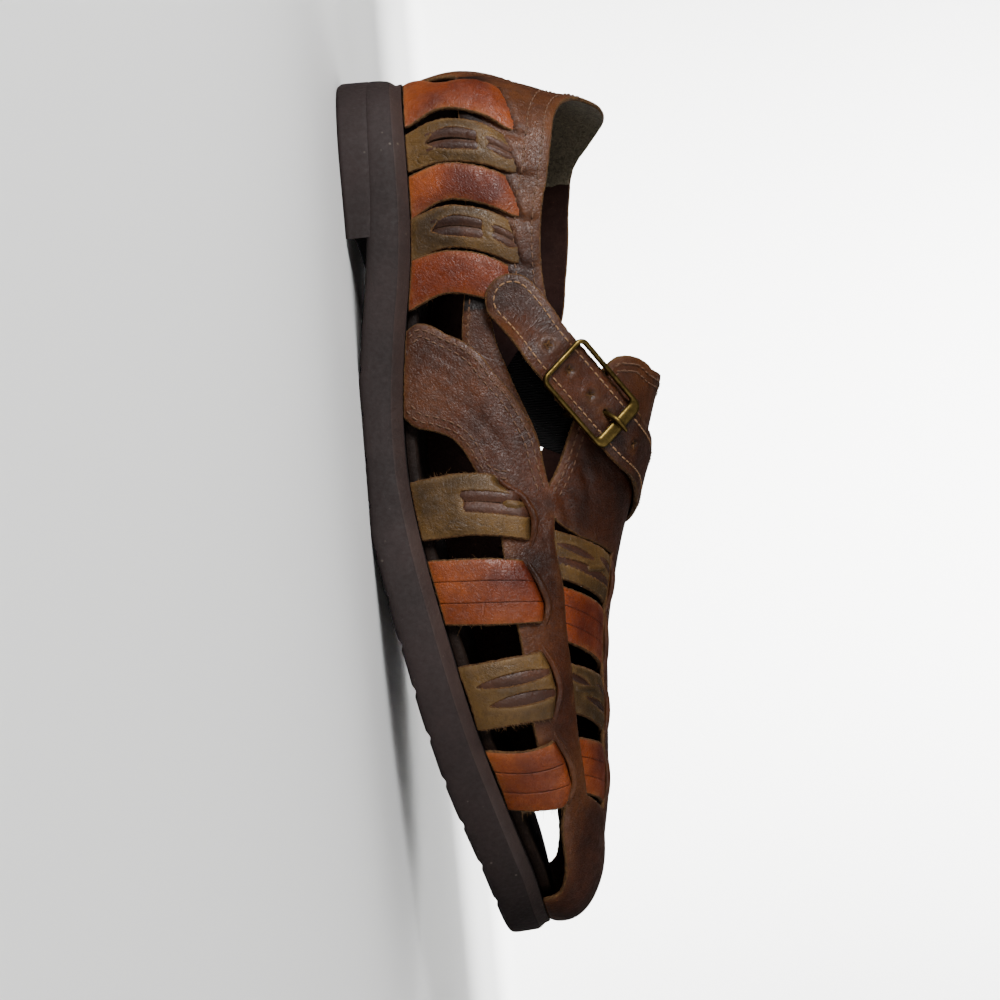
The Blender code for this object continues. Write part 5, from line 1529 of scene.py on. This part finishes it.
SOLE_GROOVES = 99.5 + 14.2 * np.arange(13)
HEEL_GROOVES = np.array((15.0, 29.0))
FOOTBED_DIPS = (
    # depth, x, length, y, width
    (1.0, 38, 26, 0, 17),
    (0.9, 200, 30, 4, 24),
)
FOOTBED_TOP = 3.75
BLOCK_PITCH, BLOCK_COLUMNS, BLOCK_WELD, BLOCK_SHARP = 1.6, 22, 2e-6, 38
# The round ends of a block: their radius, the length and number of their closer steps, and how far in from
# its end a ring is moved to follow its own outline.
END_RADIUS, END_LENGTH, END_STEPS, END_FADE = 42.0, 26, 26, 14


def tread_height(x):
    return np.maximum(smooth(x, SOLE_TREAD, "z"), 0)


def seat_height(x):
    return feather_height(x) - SEAT_GAP - SEAT_TOE_GAP * np.clip((x - SEAT_TOE_X) / SEAT_TOE_RUN, 0, 1)


def offset_halves(out):
    """The outline this far outside the feather line: its lateral and medial halves, each with x rising."""
    halves = []
    for u in (np.linspace(0, TOE_STATION, 900), np.linspace(GIRTH, TOE_STATION, 900)):
        along = feather_point(u + 1.0) - feather_point(u - 1.0)
        normal = unit(np.stack([along[:, 1], -along[:, 0]], -1))
        ring = feather_point(u)
        toe = np.clip((ring[:, 0] - TOE_TRIM_X) / TOE_TRIM_RUN, 0, 1) ** 2
        heel = np.clip((HEEL_TRIM_X - ring[:, 0]) / HEEL_TRIM_RUN, 0, 1) ** 2
        trim = (toe * TOE_TRIM + heel * HEEL_TRIM) * np.clip((out - WIDE_FROM) / WIDE_OVER, 0, 1)
        halves.append(ring + normal * (out - trim)[:, None])
    ends = [min(half[:, 0].min() for half in halves), max(half[:, 0].max() for half in halves)]
    tips = [np.mean([half[pick(half[:, 0])] for half in halves], axis=0) for pick in (np.argmin, np.argmax)]
    sides = []
    for half in halves:
        a, b = np.argmin(half[:, 0]), np.argmax(half[:, 0])
        line = np.vstack([(ends[0], tips[0][1]), half[a + 1:b], (ends[1], tips[1][1])])
        line[:, 0] = np.maximum.accumulate(line[:, 0])
        sides.append(line)
    return sides, ends


def block_stations(ends, grooves):
    """Places along a sole, closer at its round ends and across its grooves."""
    near = END_RADIUS * (1 - np.cos(np.linspace(0, math.acos(1 - END_LENGTH / END_RADIUS), END_STEPS)))
    middle = np.arange(ends[0] + near[-1] + BLOCK_PITCH, ends[1] - near[-1], BLOCK_PITCH)
    dips = (np.asarray(grooves)[:, None] + np.linspace(-0.5, 0.5, 7) * GROOVE).ravel()
    dips = dips[(dips > ends[0]) & (dips < ends[1])]
    smooth_run = np.concatenate([ends[0] + near, middle, ends[1] - near[::-1]])
    if len(dips):
        smooth_run = smooth_run[np.abs(smooth_run[:, None] - dips).min(axis=1) > 0.5]
    return np.sort(np.concatenate([smooth_run, dips]))


def in_groove(x, grooves):
    """How deep in a groove x is: 1 in its middle and 0 at its edges."""
    off = np.abs(x[..., None] - grooves).min(axis=-1) / GROOVE
    return np.cos(np.pi * np.clip(off, 0, 0.5)) ** 2


def block(name, levels, height, finishes, grooves=(), bevel_levels=0, last_x=None, warp=None):
    """A sole shape from levels of its outline, cut off at last_x; height gives z for a level's row and x."""
    _, ends = offset_halves(levels[-2][0])
    stations = block_stations(ends, grooves)
    if last_x is not None:
        stations = np.append(stations[stations < last_x - 0.3], last_x)
    rings = []
    for row, level in enumerate(levels):
        sides, reach = offset_halves(level[0])
        x = stations + (reach[0] - ends[0]) * bump_at(stations - ends[0], END_FADE)
        if last_x is None:
            x = x + (reach[1] - ends[1]) * bump_at(stations - ends[1], END_FADE)
        ys = [np.interp(x, side[:, 0], side[:, 1]) for side in sides]
        rings.append([np.column_stack([x, y, height(row, x)]) for y in ys])
    (top_lat, top_med), (low_lat, low_med) = rings[0], rings[-1]
    shares = np.linspace(0, 1, BLOCK_COLUMNS)
    profile = [top_lat * (1 - share) + top_med * share for share in shares[:0:-1]]
    profile += [lat for lat, _ in rings]
    profile += [low_lat * (1 - share) + low_med * share for share in shares[1:]]
    profile += [med for _, med in rings[::-1][1:-1]]
    points = np.stack(profile, axis=1)
    if warp is not None:
        points = warp(points)
    rows, around = points.shape[:2]
    first_side = BLOCK_COLUMNS - 1
    foot = first_side + len(levels) - 1
    after = foot + BLOCK_COLUMNS - 1
    faces, slots = [], []
    for k in range(around):
        is_bevel = first_side <= k < first_side + bevel_levels or k >= around - bevel_levels
        m = (k + 1) % around
        for a in range(0, (rows - 1) * around, around):
            faces.append((a + k, a + m, a + around + m, a + around + k))
            slots.append(int(is_bevel))
    if last_x is not None:
        end = (rows - 1) * around
        for k in range(BLOCK_COLUMNS - 1):
            top, low = end + first_side - k, end + foot + k
            faces.append((top, top - 1, low + 1, low))
        for side in (range(first_side, foot + 1), range(after, around + 1)):
            faces.append(tuple(end + k % around for k in side))
        slots += [0] * (len(faces) - len(slots))
    return mend(add_mesh(name, points.reshape(-1, 3), faces, finishes, slots), BLOCK_SHARP, weld=BLOCK_WELD)


def sole_level(row, x):
    _, kind, amount = SOLE_LEVELS[row]
    seat, tread = seat_height(x), tread_height(x)
    if kind == "below":
        return seat - amount
    raised = in_groove(x, SOLE_GROOVES) * GROOVE_DEPTH
    return np.minimum(np.maximum(tread + amount, tread + raised + 0.1 * amount), seat - LEAST_SOLE)


def heel_level(row, x):
    _, kind, amount = HEEL_LEVELS[row]
    if kind == "below":
        return tread_height(x) - amount
    rear = np.clip((HEEL_REAR_X - x) / HEEL_REAR_RUN, 0, 1) * HEEL_REAR_BEVEL
    return amount + rear * (1 if amount > 0.3 else 0.6)


def insole_level(row, x):
    return seat_height(x) + INSOLE_LEVELS[row][1]


def shape_heel(points):
    """The heel's front face is hollow and a little slanted, and its grooves are deeper inside its rim."""
    x, y, z = np.moveaxis(points, -1, 0)
    reach = HEEL_BREAST_REACH
    front = HEEL_BREAST_X - HEEL_BREAST_SAG * (1 - (y / reach) ** 2)
    front += HEEL_BREAST_SLANT * (y + reach) / (2 * reach)
    share = np.clip((x - HEEL_BREAST_FROM) / (HEEL_BREAST_X - HEEL_BREAST_FROM), 0, 1) ** 1.5
    x = x + (front - HEEL_BREAST_X) * share
    wide = np.abs(y).max(axis=1, keepdims=True)
    inner = np.clip((wide - np.abs(y) - HEEL_RIM) / 1.5, 0, 1) * (z < HEEL_FOOT)
    return np.stack([x, y, z + in_groove(x, HEEL_GROOVES) * GROOVE_INNER * inner], -1)


def hollow_footbed(points):
    """A worn footbed: it dips where the heel and the ball press."""
    x, y, z = np.moveaxis(points, -1, 0)
    dip = sum(
        depth * np.exp(-(((x - at) / length) ** 2) - ((y - aside) / width) ** 2)
        for depth, at, length, aside, width in FOOTBED_DIPS
    )
    return np.stack([x, y, z - dip * (z > seat_height(x) + FOOTBED_TOP)], -1)


keep("outsole", block("rubber_sole", SOLE_LEVELS, sole_level, (SOLE_WALL, HIGHLIT_SOLE_BEVEL), SOLE_GROOVES,
                      bevel_levels=SOLE_BEVEL_LEVELS))
keep("heel", block("heel_block", HEEL_LEVELS, heel_level, (SOLE_WALL,) * 2, HEEL_GROOVES,
                   last_x=HEEL_BREAST_X, warp=shape_heel))
keep("insole", block("footbed", INSOLE_LEVELS, insole_level, (FOOTBED,) * 2, warp=hollow_footbed))


# ---------------------------------------------------------------- instep strap, chape and buckle

STRAP_WIDTH, STRAP_THICK = 16.0, 1.9
CHAPE_WIDTH, CHAPE_THICK, CHAPE_BEGIN, CHAPE_CORNER = 14.0, 1.4, 12.5, 1.5
CHAPE_ROWS, CHAPE_SLOT, CHAPE_SLOT_CORNER = 24, 5.5, 0.6
BUCKLE_LONG, BUCKLE_WIDE, BUCKLE_CORNER = 31.0, 20.0, 3.0
SIDE_BAR, FRONT_BAR, BAR_THICK = 1.6, 4.2, 1.8
PRONG_THICK, PRONG_HOLE = 1.7, 2.4
GAP = 0.3
STRAP_HOLES = (-20.5, -10.2, 0.4, 23.5)
PRONG_SLOT = (6.6, 11.4)
STRAP_BOW, FLAT_BOW = 150.0, 1e5
EDGE_SEAM = 2.3
CUT_ARM, CUT_WIDTH = 1.5, 0.7
STRIP_PITCH, HOLE_PITCH = 1.0, 0.25
PINCH, PINCH_WIDTH, SWELL_AT, SWELL_WIDTH = 0.35, 1.1, 2.3, 0.9
# Painted shade round the holes: its strength and its width.
HOLE_SHADE, HOLE_SHADE_WIDTH = 0.9, 1.5
STITCH_PITCH, STITCH_STEP = 2.5, 1.0
STRAP_PATH = (
    # place, lift of the strap's middle above the last
    (lateral(88.5, 26.5), 5.6),
    (lateral(98, 35), 6.2),
    (lateral(114, 47), 9.0),
    (lateral(125.5, 54.5), 9.8),
    (lateral(137, 66.5), 7.8),
    (lateral(146, 78.5), 5.4),
    (lateral(152, 90), 4.1),
    (below_ridge_medial(157, 4), 3.9),
    (below_ridge_medial(161, 16), 3.9),
    (below_ridge_medial(164, 28), 3.9),
    (below_ridge_medial(166, 38), 3.8),
)
BUCKLE_ROW = 3


class Path:
    """A middle line for a strip of leather, with the direction it faces."""

    def __init__(self, points, normals):
        self.points, self.normals = points, normals
        self.steps = distances(points)
        self.length = self.steps[-1]

    def at(self, s):
        """Point, normal and across direction at distances along the line."""
        p, ahead, behind = (curve_at(s + shift, self.steps, self.points) for shift in (0, 0.1, -0.1))
        d = unit(ahead - behind)
        n = curve_at(s, self.steps, self.normals)
        n = unit(n - d * (n * d).sum(axis=1)[:, None])
        return p, n, np.cross(n, d)

    def lay(self, flat, bow):
        """Points and normals for (along, across) places of a strip bowed across to this radius."""
        p, n, b = self.at(flat[:, 0])
        w = flat[:, 1]
        return p + b * w[:, None] - n * (w**2 / (2 * bow))[:, None], unit(n + b * (w / bow)[:, None])


def strap_path():
    """The strap's line, the distance along it to the buckle's middle, and the buckle's own frame."""
    q = np.vstack([place for place, _ in STRAP_PATH])
    lift = np.array([h for _, h in STRAP_PATH])
    normal = last_normal(q)
    knots = last_point(q) + normal * lift[:, None]
    along = unit(knots[BUCKLE_ROW + 1] - knots[BUCKLE_ROW - 1])
    middle = knots[BUCKLE_ROW]
    flat = unit(normal[BUCKLE_ROW] - along * (normal[BUCKLE_ROW] @ along))
    straight = np.array([-1, -0.55, 0, 0.55, 1]) * (BUCKLE_LONG / 2 + 3)
    zone = middle + straight[:, None] * along
    knots = np.vstack([knots[:BUCKLE_ROW - 1], zone, knots[BUCKLE_ROW + 2:]])
    normal = np.vstack([normal[:BUCKLE_ROW - 1], [flat] * len(zone), normal[BUCKLE_ROW + 2:]])
    path = Path(knots, normal)
    return path, path.steps[BUCKLE_ROW + 1], (middle, along, flat, np.cross(flat, along))


def round_rectangle(x0, x1, y0, y1, radius, steps=6):
    outline = []
    for cx, cy, start in (
        (x1 - radius, y1 - radius, 0), (x0 + radius, y1 - radius, 90),
        (x0 + radius, y0 + radius, 180), (x1 - radius, y0 + radius, 270),
    ):
        for k in range(steps + 1):
            angle = math.radians(start + 90 * k / steps)
            outline.append((cx + radius * math.cos(angle), cy + radius * math.sin(angle)))
    return np.array(outline)


def cross_cut(x):
    """An x-shaped awl cut on a strap's middle line."""
    spots = []
    for k in range(4):
        angle = math.radians(45 + 90 * k)
        d, c = np.array((math.cos(angle), math.sin(angle))), np.array((-math.sin(angle), math.cos(angle)))
        spots += [d * CUT_ARM - c * CUT_WIDTH / 3, d * CUT_ARM + c * CUT_WIDTH / 3, (d + c) * CUT_WIDTH * 0.7]
    return np.array((x, 0.0)) + spots


def strip(name, path, outline, holes, thick, rough, bow):
    """A strip of brown leather along a path, pinched at its holes and darkened round them with painted shade.
    """
    flat, faces = flat_sheet(outline, holes, STRIP_PITCH, HOLE_PITCH)
    points, normals = path.lay(flat, bow)
    faces = outward_faces(points, normals, faces)
    centres = np.array([hole.mean(axis=0) for hole in holes])
    far = np.linalg.norm(flat[:, None] - centres, axis=2).min(axis=1)
    lows = PINCH * bump_at(far - SWELL_AT, SWELL_WIDTH) - PINCH * bump_at(far, PINCH_WIDTH) - thick / 2
    return shell(name, points, normals, lows, lows + thick, faces, (BROWN, LINING, RAW), rough=rough,
                 wear=0.6, shade=HOLE_SHADE * bump_at(far, HOLE_SHADE_WIDTH))


STRAP, BUCKLE_AT, BUCKLE = strap_path()


def instep_strap():
    """The strap with its round free end, its holes and a row of stitches beside its edge."""
    half, root = STRAP_WIDTH / 2, STRAP.length - 0.01
    turn = np.radians(np.linspace(90, 270, 25))

    def round_end(radius):
        return np.column_stack([half + radius * np.cos(turn), radius * np.sin(turn)])

    outline = np.vstack([round_end(half), [(root, -half), (root, half)]])
    slot = [BUCKLE_AT + x for x in PRONG_SLOT]
    holes = [round_rectangle(*slot, -PRONG_HOLE / 2, PRONG_HOLE / 2, 1.0)]
    holes += [cross_cut(BUCKLE_AT + x) for x in STRAP_HOLES]
    keep("instep_strap", strip("instep_strap", STRAP, outline, holes, STRAP_THICK, 0.3, STRAP_BOW))
    inset = half - EDGE_SEAM
    back = np.arange(STRAP.length - 1, half, -STITCH_STEP)
    out = np.arange(half, STRAP.length - 1, STITCH_STEP)
    edge = np.vstack([
        np.column_stack([back, np.full(len(back), inset)]), round_end(inset),
        np.column_stack([out, np.full(len(out), -inset)]),
    ])
    laid, up = STRAP.lay(edge, STRAP_BOW)
    seam = (laid + up * (STRAP_THICK / 2 + 0.1), up)
    keep("instep_strap", stitched("strap_stitching", [seam], PALE_THREAD, pitch=STITCH_PITCH))


def buckle_points(along, across, up):
    middle, a, n, b = BUCKLE
    return middle + np.outer(along, a) + np.outer(across, b) + np.outer(up, n)


BAR_SQUARENESS, BAR_SHARP, LINE_PITCH = 2.6, 50, 0.45


def tube(name, centre, ups, sides, half_up, half_side, around, closed=False):
    """A brass bar with a round-cornered section along a line."""
    rows = len(centre)
    ups, sides = np.broadcast_to(ups, centre.shape), np.broadcast_to(sides, centre.shape)
    phi = np.linspace(0, 2 * np.pi, around, endpoint=False)
    c, s = (np.sign(wave) * np.abs(wave) ** (2 / BAR_SQUARENESS) for wave in (np.cos(phi), np.sin(phi)))
    points = (centre[:, None] + sides[:, None] * (c[:, None] * np.reshape(half_side, (-1, 1, 1)))
              + ups[:, None] * (s[:, None] * np.reshape(half_up, (-1, 1, 1))))
    faces = ring_faces(rows, around, closed=closed)
    if not closed:
        faces += [tuple(range(around))[::-1], tuple(range((rows - 1) * around, rows * around))]
    facts = {"wear": np.zeros(rows * around)}
    return mend(add_mesh(name, points.reshape(-1, 3), faces, (BRASS,), facts=facts), BAR_SHARP)


def space_line(along, across, up):
    """A smooth line through places in the buckle's frame, and its direction at each point."""
    line = buckle_points(along, across, up)
    steps = distances(line)
    s = np.linspace(0, steps[-1], max(8, round(steps[-1] / LINE_PITCH)))
    line = curve_at(s, steps, line)
    return line, unit(np.gradient(line, axis=0))


FRAME_LEVEL = STRAP_THICK / 2 + GAP + BAR_THICK / 2
BAR_CORNER = BAR_THICK / 2 * math.sqrt(2)
BAR_LEVEL = -STRAP_THICK / 2 - GAP - CHAPE_THICK - GAP - BAR_CORNER
BAR_TURN = 1.4


def buckle_frame():
    """The frame over the strap, and its middle bar, whose ends come up beside the strap."""
    _, a, n, b = BUCKLE
    long, wide = BUCKLE_LONG / 2, BUCKLE_WIDE / 2
    outer = round_rectangle(-long, long, -wide, wide, BUCKLE_CORNER, 10)
    inner = round_rectangle(-long + SIDE_BAR, long - FRONT_BAR, -wide + SIDE_BAR, wide - SIDE_BAR,
                            BUCKLE_CORNER - SIDE_BAR, 10)
    mid, reach = (outer + inner) / 2, (outer - inner) / 2
    centre = buckle_points(mid[:, 0], mid[:, 1], np.full(len(mid), FRAME_LEVEL))
    out = np.outer(reach[:, 0], a) + np.outer(reach[:, 1], b)
    keep("buckle_frame", tube("buckle_frame", centre, n, unit(out), BAR_THICK / 2,
                              np.linalg.norm(out, axis=1), 16, closed=True))
    span = wide - SIDE_BAR / 2
    along = np.linspace(-span + BAR_TURN, span - BAR_TURN, 9)
    y = np.concatenate([np.full(6, -span), along, np.full(6, span)])
    drop = np.linspace(FRAME_LEVEL, BAR_LEVEL + BAR_TURN, 6)
    line, d = space_line(0 * y, y, np.concatenate([drop, np.full(9, BAR_LEVEL), drop[::-1]]))
    keep("buckle_frame", tube("buckle_middle_bar", line, a, np.cross(d, a), BAR_THICK / 2, BAR_THICK / 2, 12))


def buckle_prong():
    """The prong: a loop round the middle bar, then up through the strap and over to the front bar."""
    *_, b = BUCKLE
    reach = BAR_THICK / 2 + GAP + PRONG_THICK / 2
    turn = np.radians(np.linspace(170, -100, 14))
    loop = np.column_stack([reach * np.sin(turn), BAR_LEVEL + reach * np.cos(turn)])
    top = STRAP_THICK / 2 + 2 * GAP + BAR_THICK + PRONG_THICK / 2
    low = -STRAP_THICK / 2 - GAP - PRONG_THICK / 2
    arm = np.vstack([loop[:-3], [
        (2.6, low - 0.5), (4.4, low), (6.0, low), (7.4, low + 0.7), (8.6, 0.0), (9.8, top - 2.0),
        (11.2, top - 0.5), (12.8, top), (BUCKLE_LONG / 2 + 0.6, top - 0.25),
    ]])
    line, d = space_line(arm[:, 0], 0 * arm[:, 0], arm[:, 1])
    taper = 1 - 0.35 * np.clip((np.linspace(0, 1, len(line)) - 0.9) / 0.1, 0, 1)
    half = PRONG_THICK / 2 * taper
    keep("buckle_prong", tube("buckle_prong", line, np.cross(d, b), b, half, half, 12))


def chape_piece():
    """The strip that holds the buckle: under the strap, then round the middle bar and back."""
    middle, a, n, _ = BUCKLE
    fall = -STRAP_THICK / 2 - GAP - CHAPE_THICK / 2
    p, up, _ = STRAP.at(np.linspace(CHAPE_BEGIN, BUCKLE_AT - 3.0, CHAPE_ROWS))
    points, normals = list(p + up * fall), list(up)
    loop = BAR_CORNER + GAP + CHAPE_THICK / 2
    for degrees in range(75, -91, -15):
        radial = a * math.cos(math.radians(degrees)) + n * math.sin(math.radians(degrees))
        points.append(middle + n * BAR_LEVEL + radial * loop)
        normals.append(radial)
    for back in (3.0, 6.0):
        points.append(middle + n * (BAR_LEVEL - loop) - a * back)
        normals.append(-n)
    path = Path(np.array(points), np.array(normals))
    turn = path.steps[CHAPE_ROWS + 5]
    outline = round_rectangle(0.01, path.length - 0.01, -CHAPE_WIDTH / 2, CHAPE_WIDTH / 2, CHAPE_CORNER)
    slot = round_rectangle(turn - CHAPE_SLOT, turn + CHAPE_SLOT, -PRONG_HOLE / 2, PRONG_HOLE / 2,
                           CHAPE_SLOT_CORNER)
    keep("buckle_chape", strip("buckle_chape", path, outline, [slot], CHAPE_THICK, 0.2, FLAT_BOW))


instep_strap()
buckle_frame()
buckle_prong()
chape_piece()
bpy.data.objects.remove(STITCH)


# ---------------------------------------------------------------- pieces take their places

for node_name, made_pieces in pieces.items():
    for piece in made_pieces:
        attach(piece, "root")
        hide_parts(node_name)


# ---------------------------------------------------------------- floor, light and camera

FLOOR_SIDE, FLOOR_FRONT, FLOOR_BEND, FLOOR_RADIUS, FLOOR_TOP = 4.0, -3.0, 1.2, 0.8, 4.5
LIGHTS = (
    # name, place, what it faces, size, power
    ("key", (-0.58, -0.62, 0.3), (-0.09, 0, 0.045), 0.4, 11.5),
    ("fill", (0.7, -1.5, 0.4), (0.1, 0, 0.04), 1.0, 3.5),
    ("top", (0.8, -0.6, 1.0), (0.12, 0, 0.04), 0.8, 5),
    ("backdrop", (0, 0.7, 1.1), (0, 2.2, 0.9), 1.4, 170),
    ("far_floor", (0, 0.45, 0.7), (0, 1.5, 0.35), 1.2, 34),
)
SKY_COLOUR, SKY_STRENGTH = (0.9, 0.92, 0.95, 1), 0.07
CAMERA_AT, CAMERA_LENS, CAMERA_SENSOR = (0.0043, -0.5046, 0.0438), 54, 36
CAMERA_NEAR, CAMERA_FAR = 0.05, 20
CAMERA_AHEAD = (0, 0.99619, 0.08716)
CAMERA_RIGHT = (0.09585, -0.08676, 0.99160)
CAMERA_DOWN = (0.99540, 0.00835, -0.09548)
# The camera then turns towards a point this far ahead, right and down.
CAMERA_TURN = (1500, -143.5, -2.5)


def sweep_floor():
    """A pale floor that curves up behind, and isn't mirrored in the leather."""
    bend, radius = FLOOR_BEND, FLOOR_RADIUS
    turns = [k * math.pi / 24 for k in range(1, 13)]
    profile = [(FLOOR_FRONT, 0.0), (bend, 0.0)]
    profile += [(bend + radius * math.sin(t), radius * (1 - math.cos(t))) for t in turns]
    profile.append((bend + radius, FLOOR_TOP))
    points = [(x, y, z) for y, z in profile for x in (-FLOOR_SIDE, FLOOR_SIDE)]
    mesh = smooth_mesh("studio_floor", points, grid_faces(len(profile), 2)[:, [0, 3, 2, 1]])
    mesh.materials.append(plain("studio_paper", (0.86, 0.86, 0.85, 1), 0.9))
    floor = in_scene("studio_floor", mesh)
    floor.visible_glossy = False


def area_light(name, at, aim, size, power):
    data = bpy.data.lights.new(name, "AREA")
    data.shape = "DISK"
    data.size = size
    data.energy = power
    light = in_scene(name, data)
    light.location = at
    light.rotation_euler = (Vector(aim) - Vector(at)).to_track_quat("-Z", "Y").to_euler()


def place_camera():
    """The camera stands beside the shoe's lateral side, low, and rolled so that the toe points down."""
    ahead, right, down = (np.array(axis) for axis in (CAMERA_AHEAD, CAMERA_RIGHT, CAMERA_DOWN))
    ahead = unit(CAMERA_TURN[0] * ahead + CAMERA_TURN[1] * right + CAMERA_TURN[2] * down)
    right = unit(right - ahead * (right @ ahead))
    down = np.cross(ahead, right)
    data = bpy.data.cameras.new("camera")
    data.sensor_width = CAMERA_SENSOR
    data.lens = CAMERA_LENS
    data.clip_start, data.clip_end = CAMERA_NEAR, CAMERA_FAR
    camera = in_scene("camera", data)
    turn = Matrix((right, -down, -ahead)).transposed().to_4x4()
    camera.matrix_world = Matrix.Translation(CAMERA_AT) @ turn
    bpy.context.scene.camera = camera


def light_sky():
    world = bpy.data.worlds.new("studio")
    world.use_nodes = True
    sky = world.node_tree.nodes["Background"]
    sky.inputs["Color"].default_value = SKY_COLOUR
    sky.inputs["Strength"].default_value = SKY_STRENGTH
    bpy.context.scene.world = world


sweep_floor()
for row in LIGHTS:
    area_light(*row)
light_sky()
place_camera()
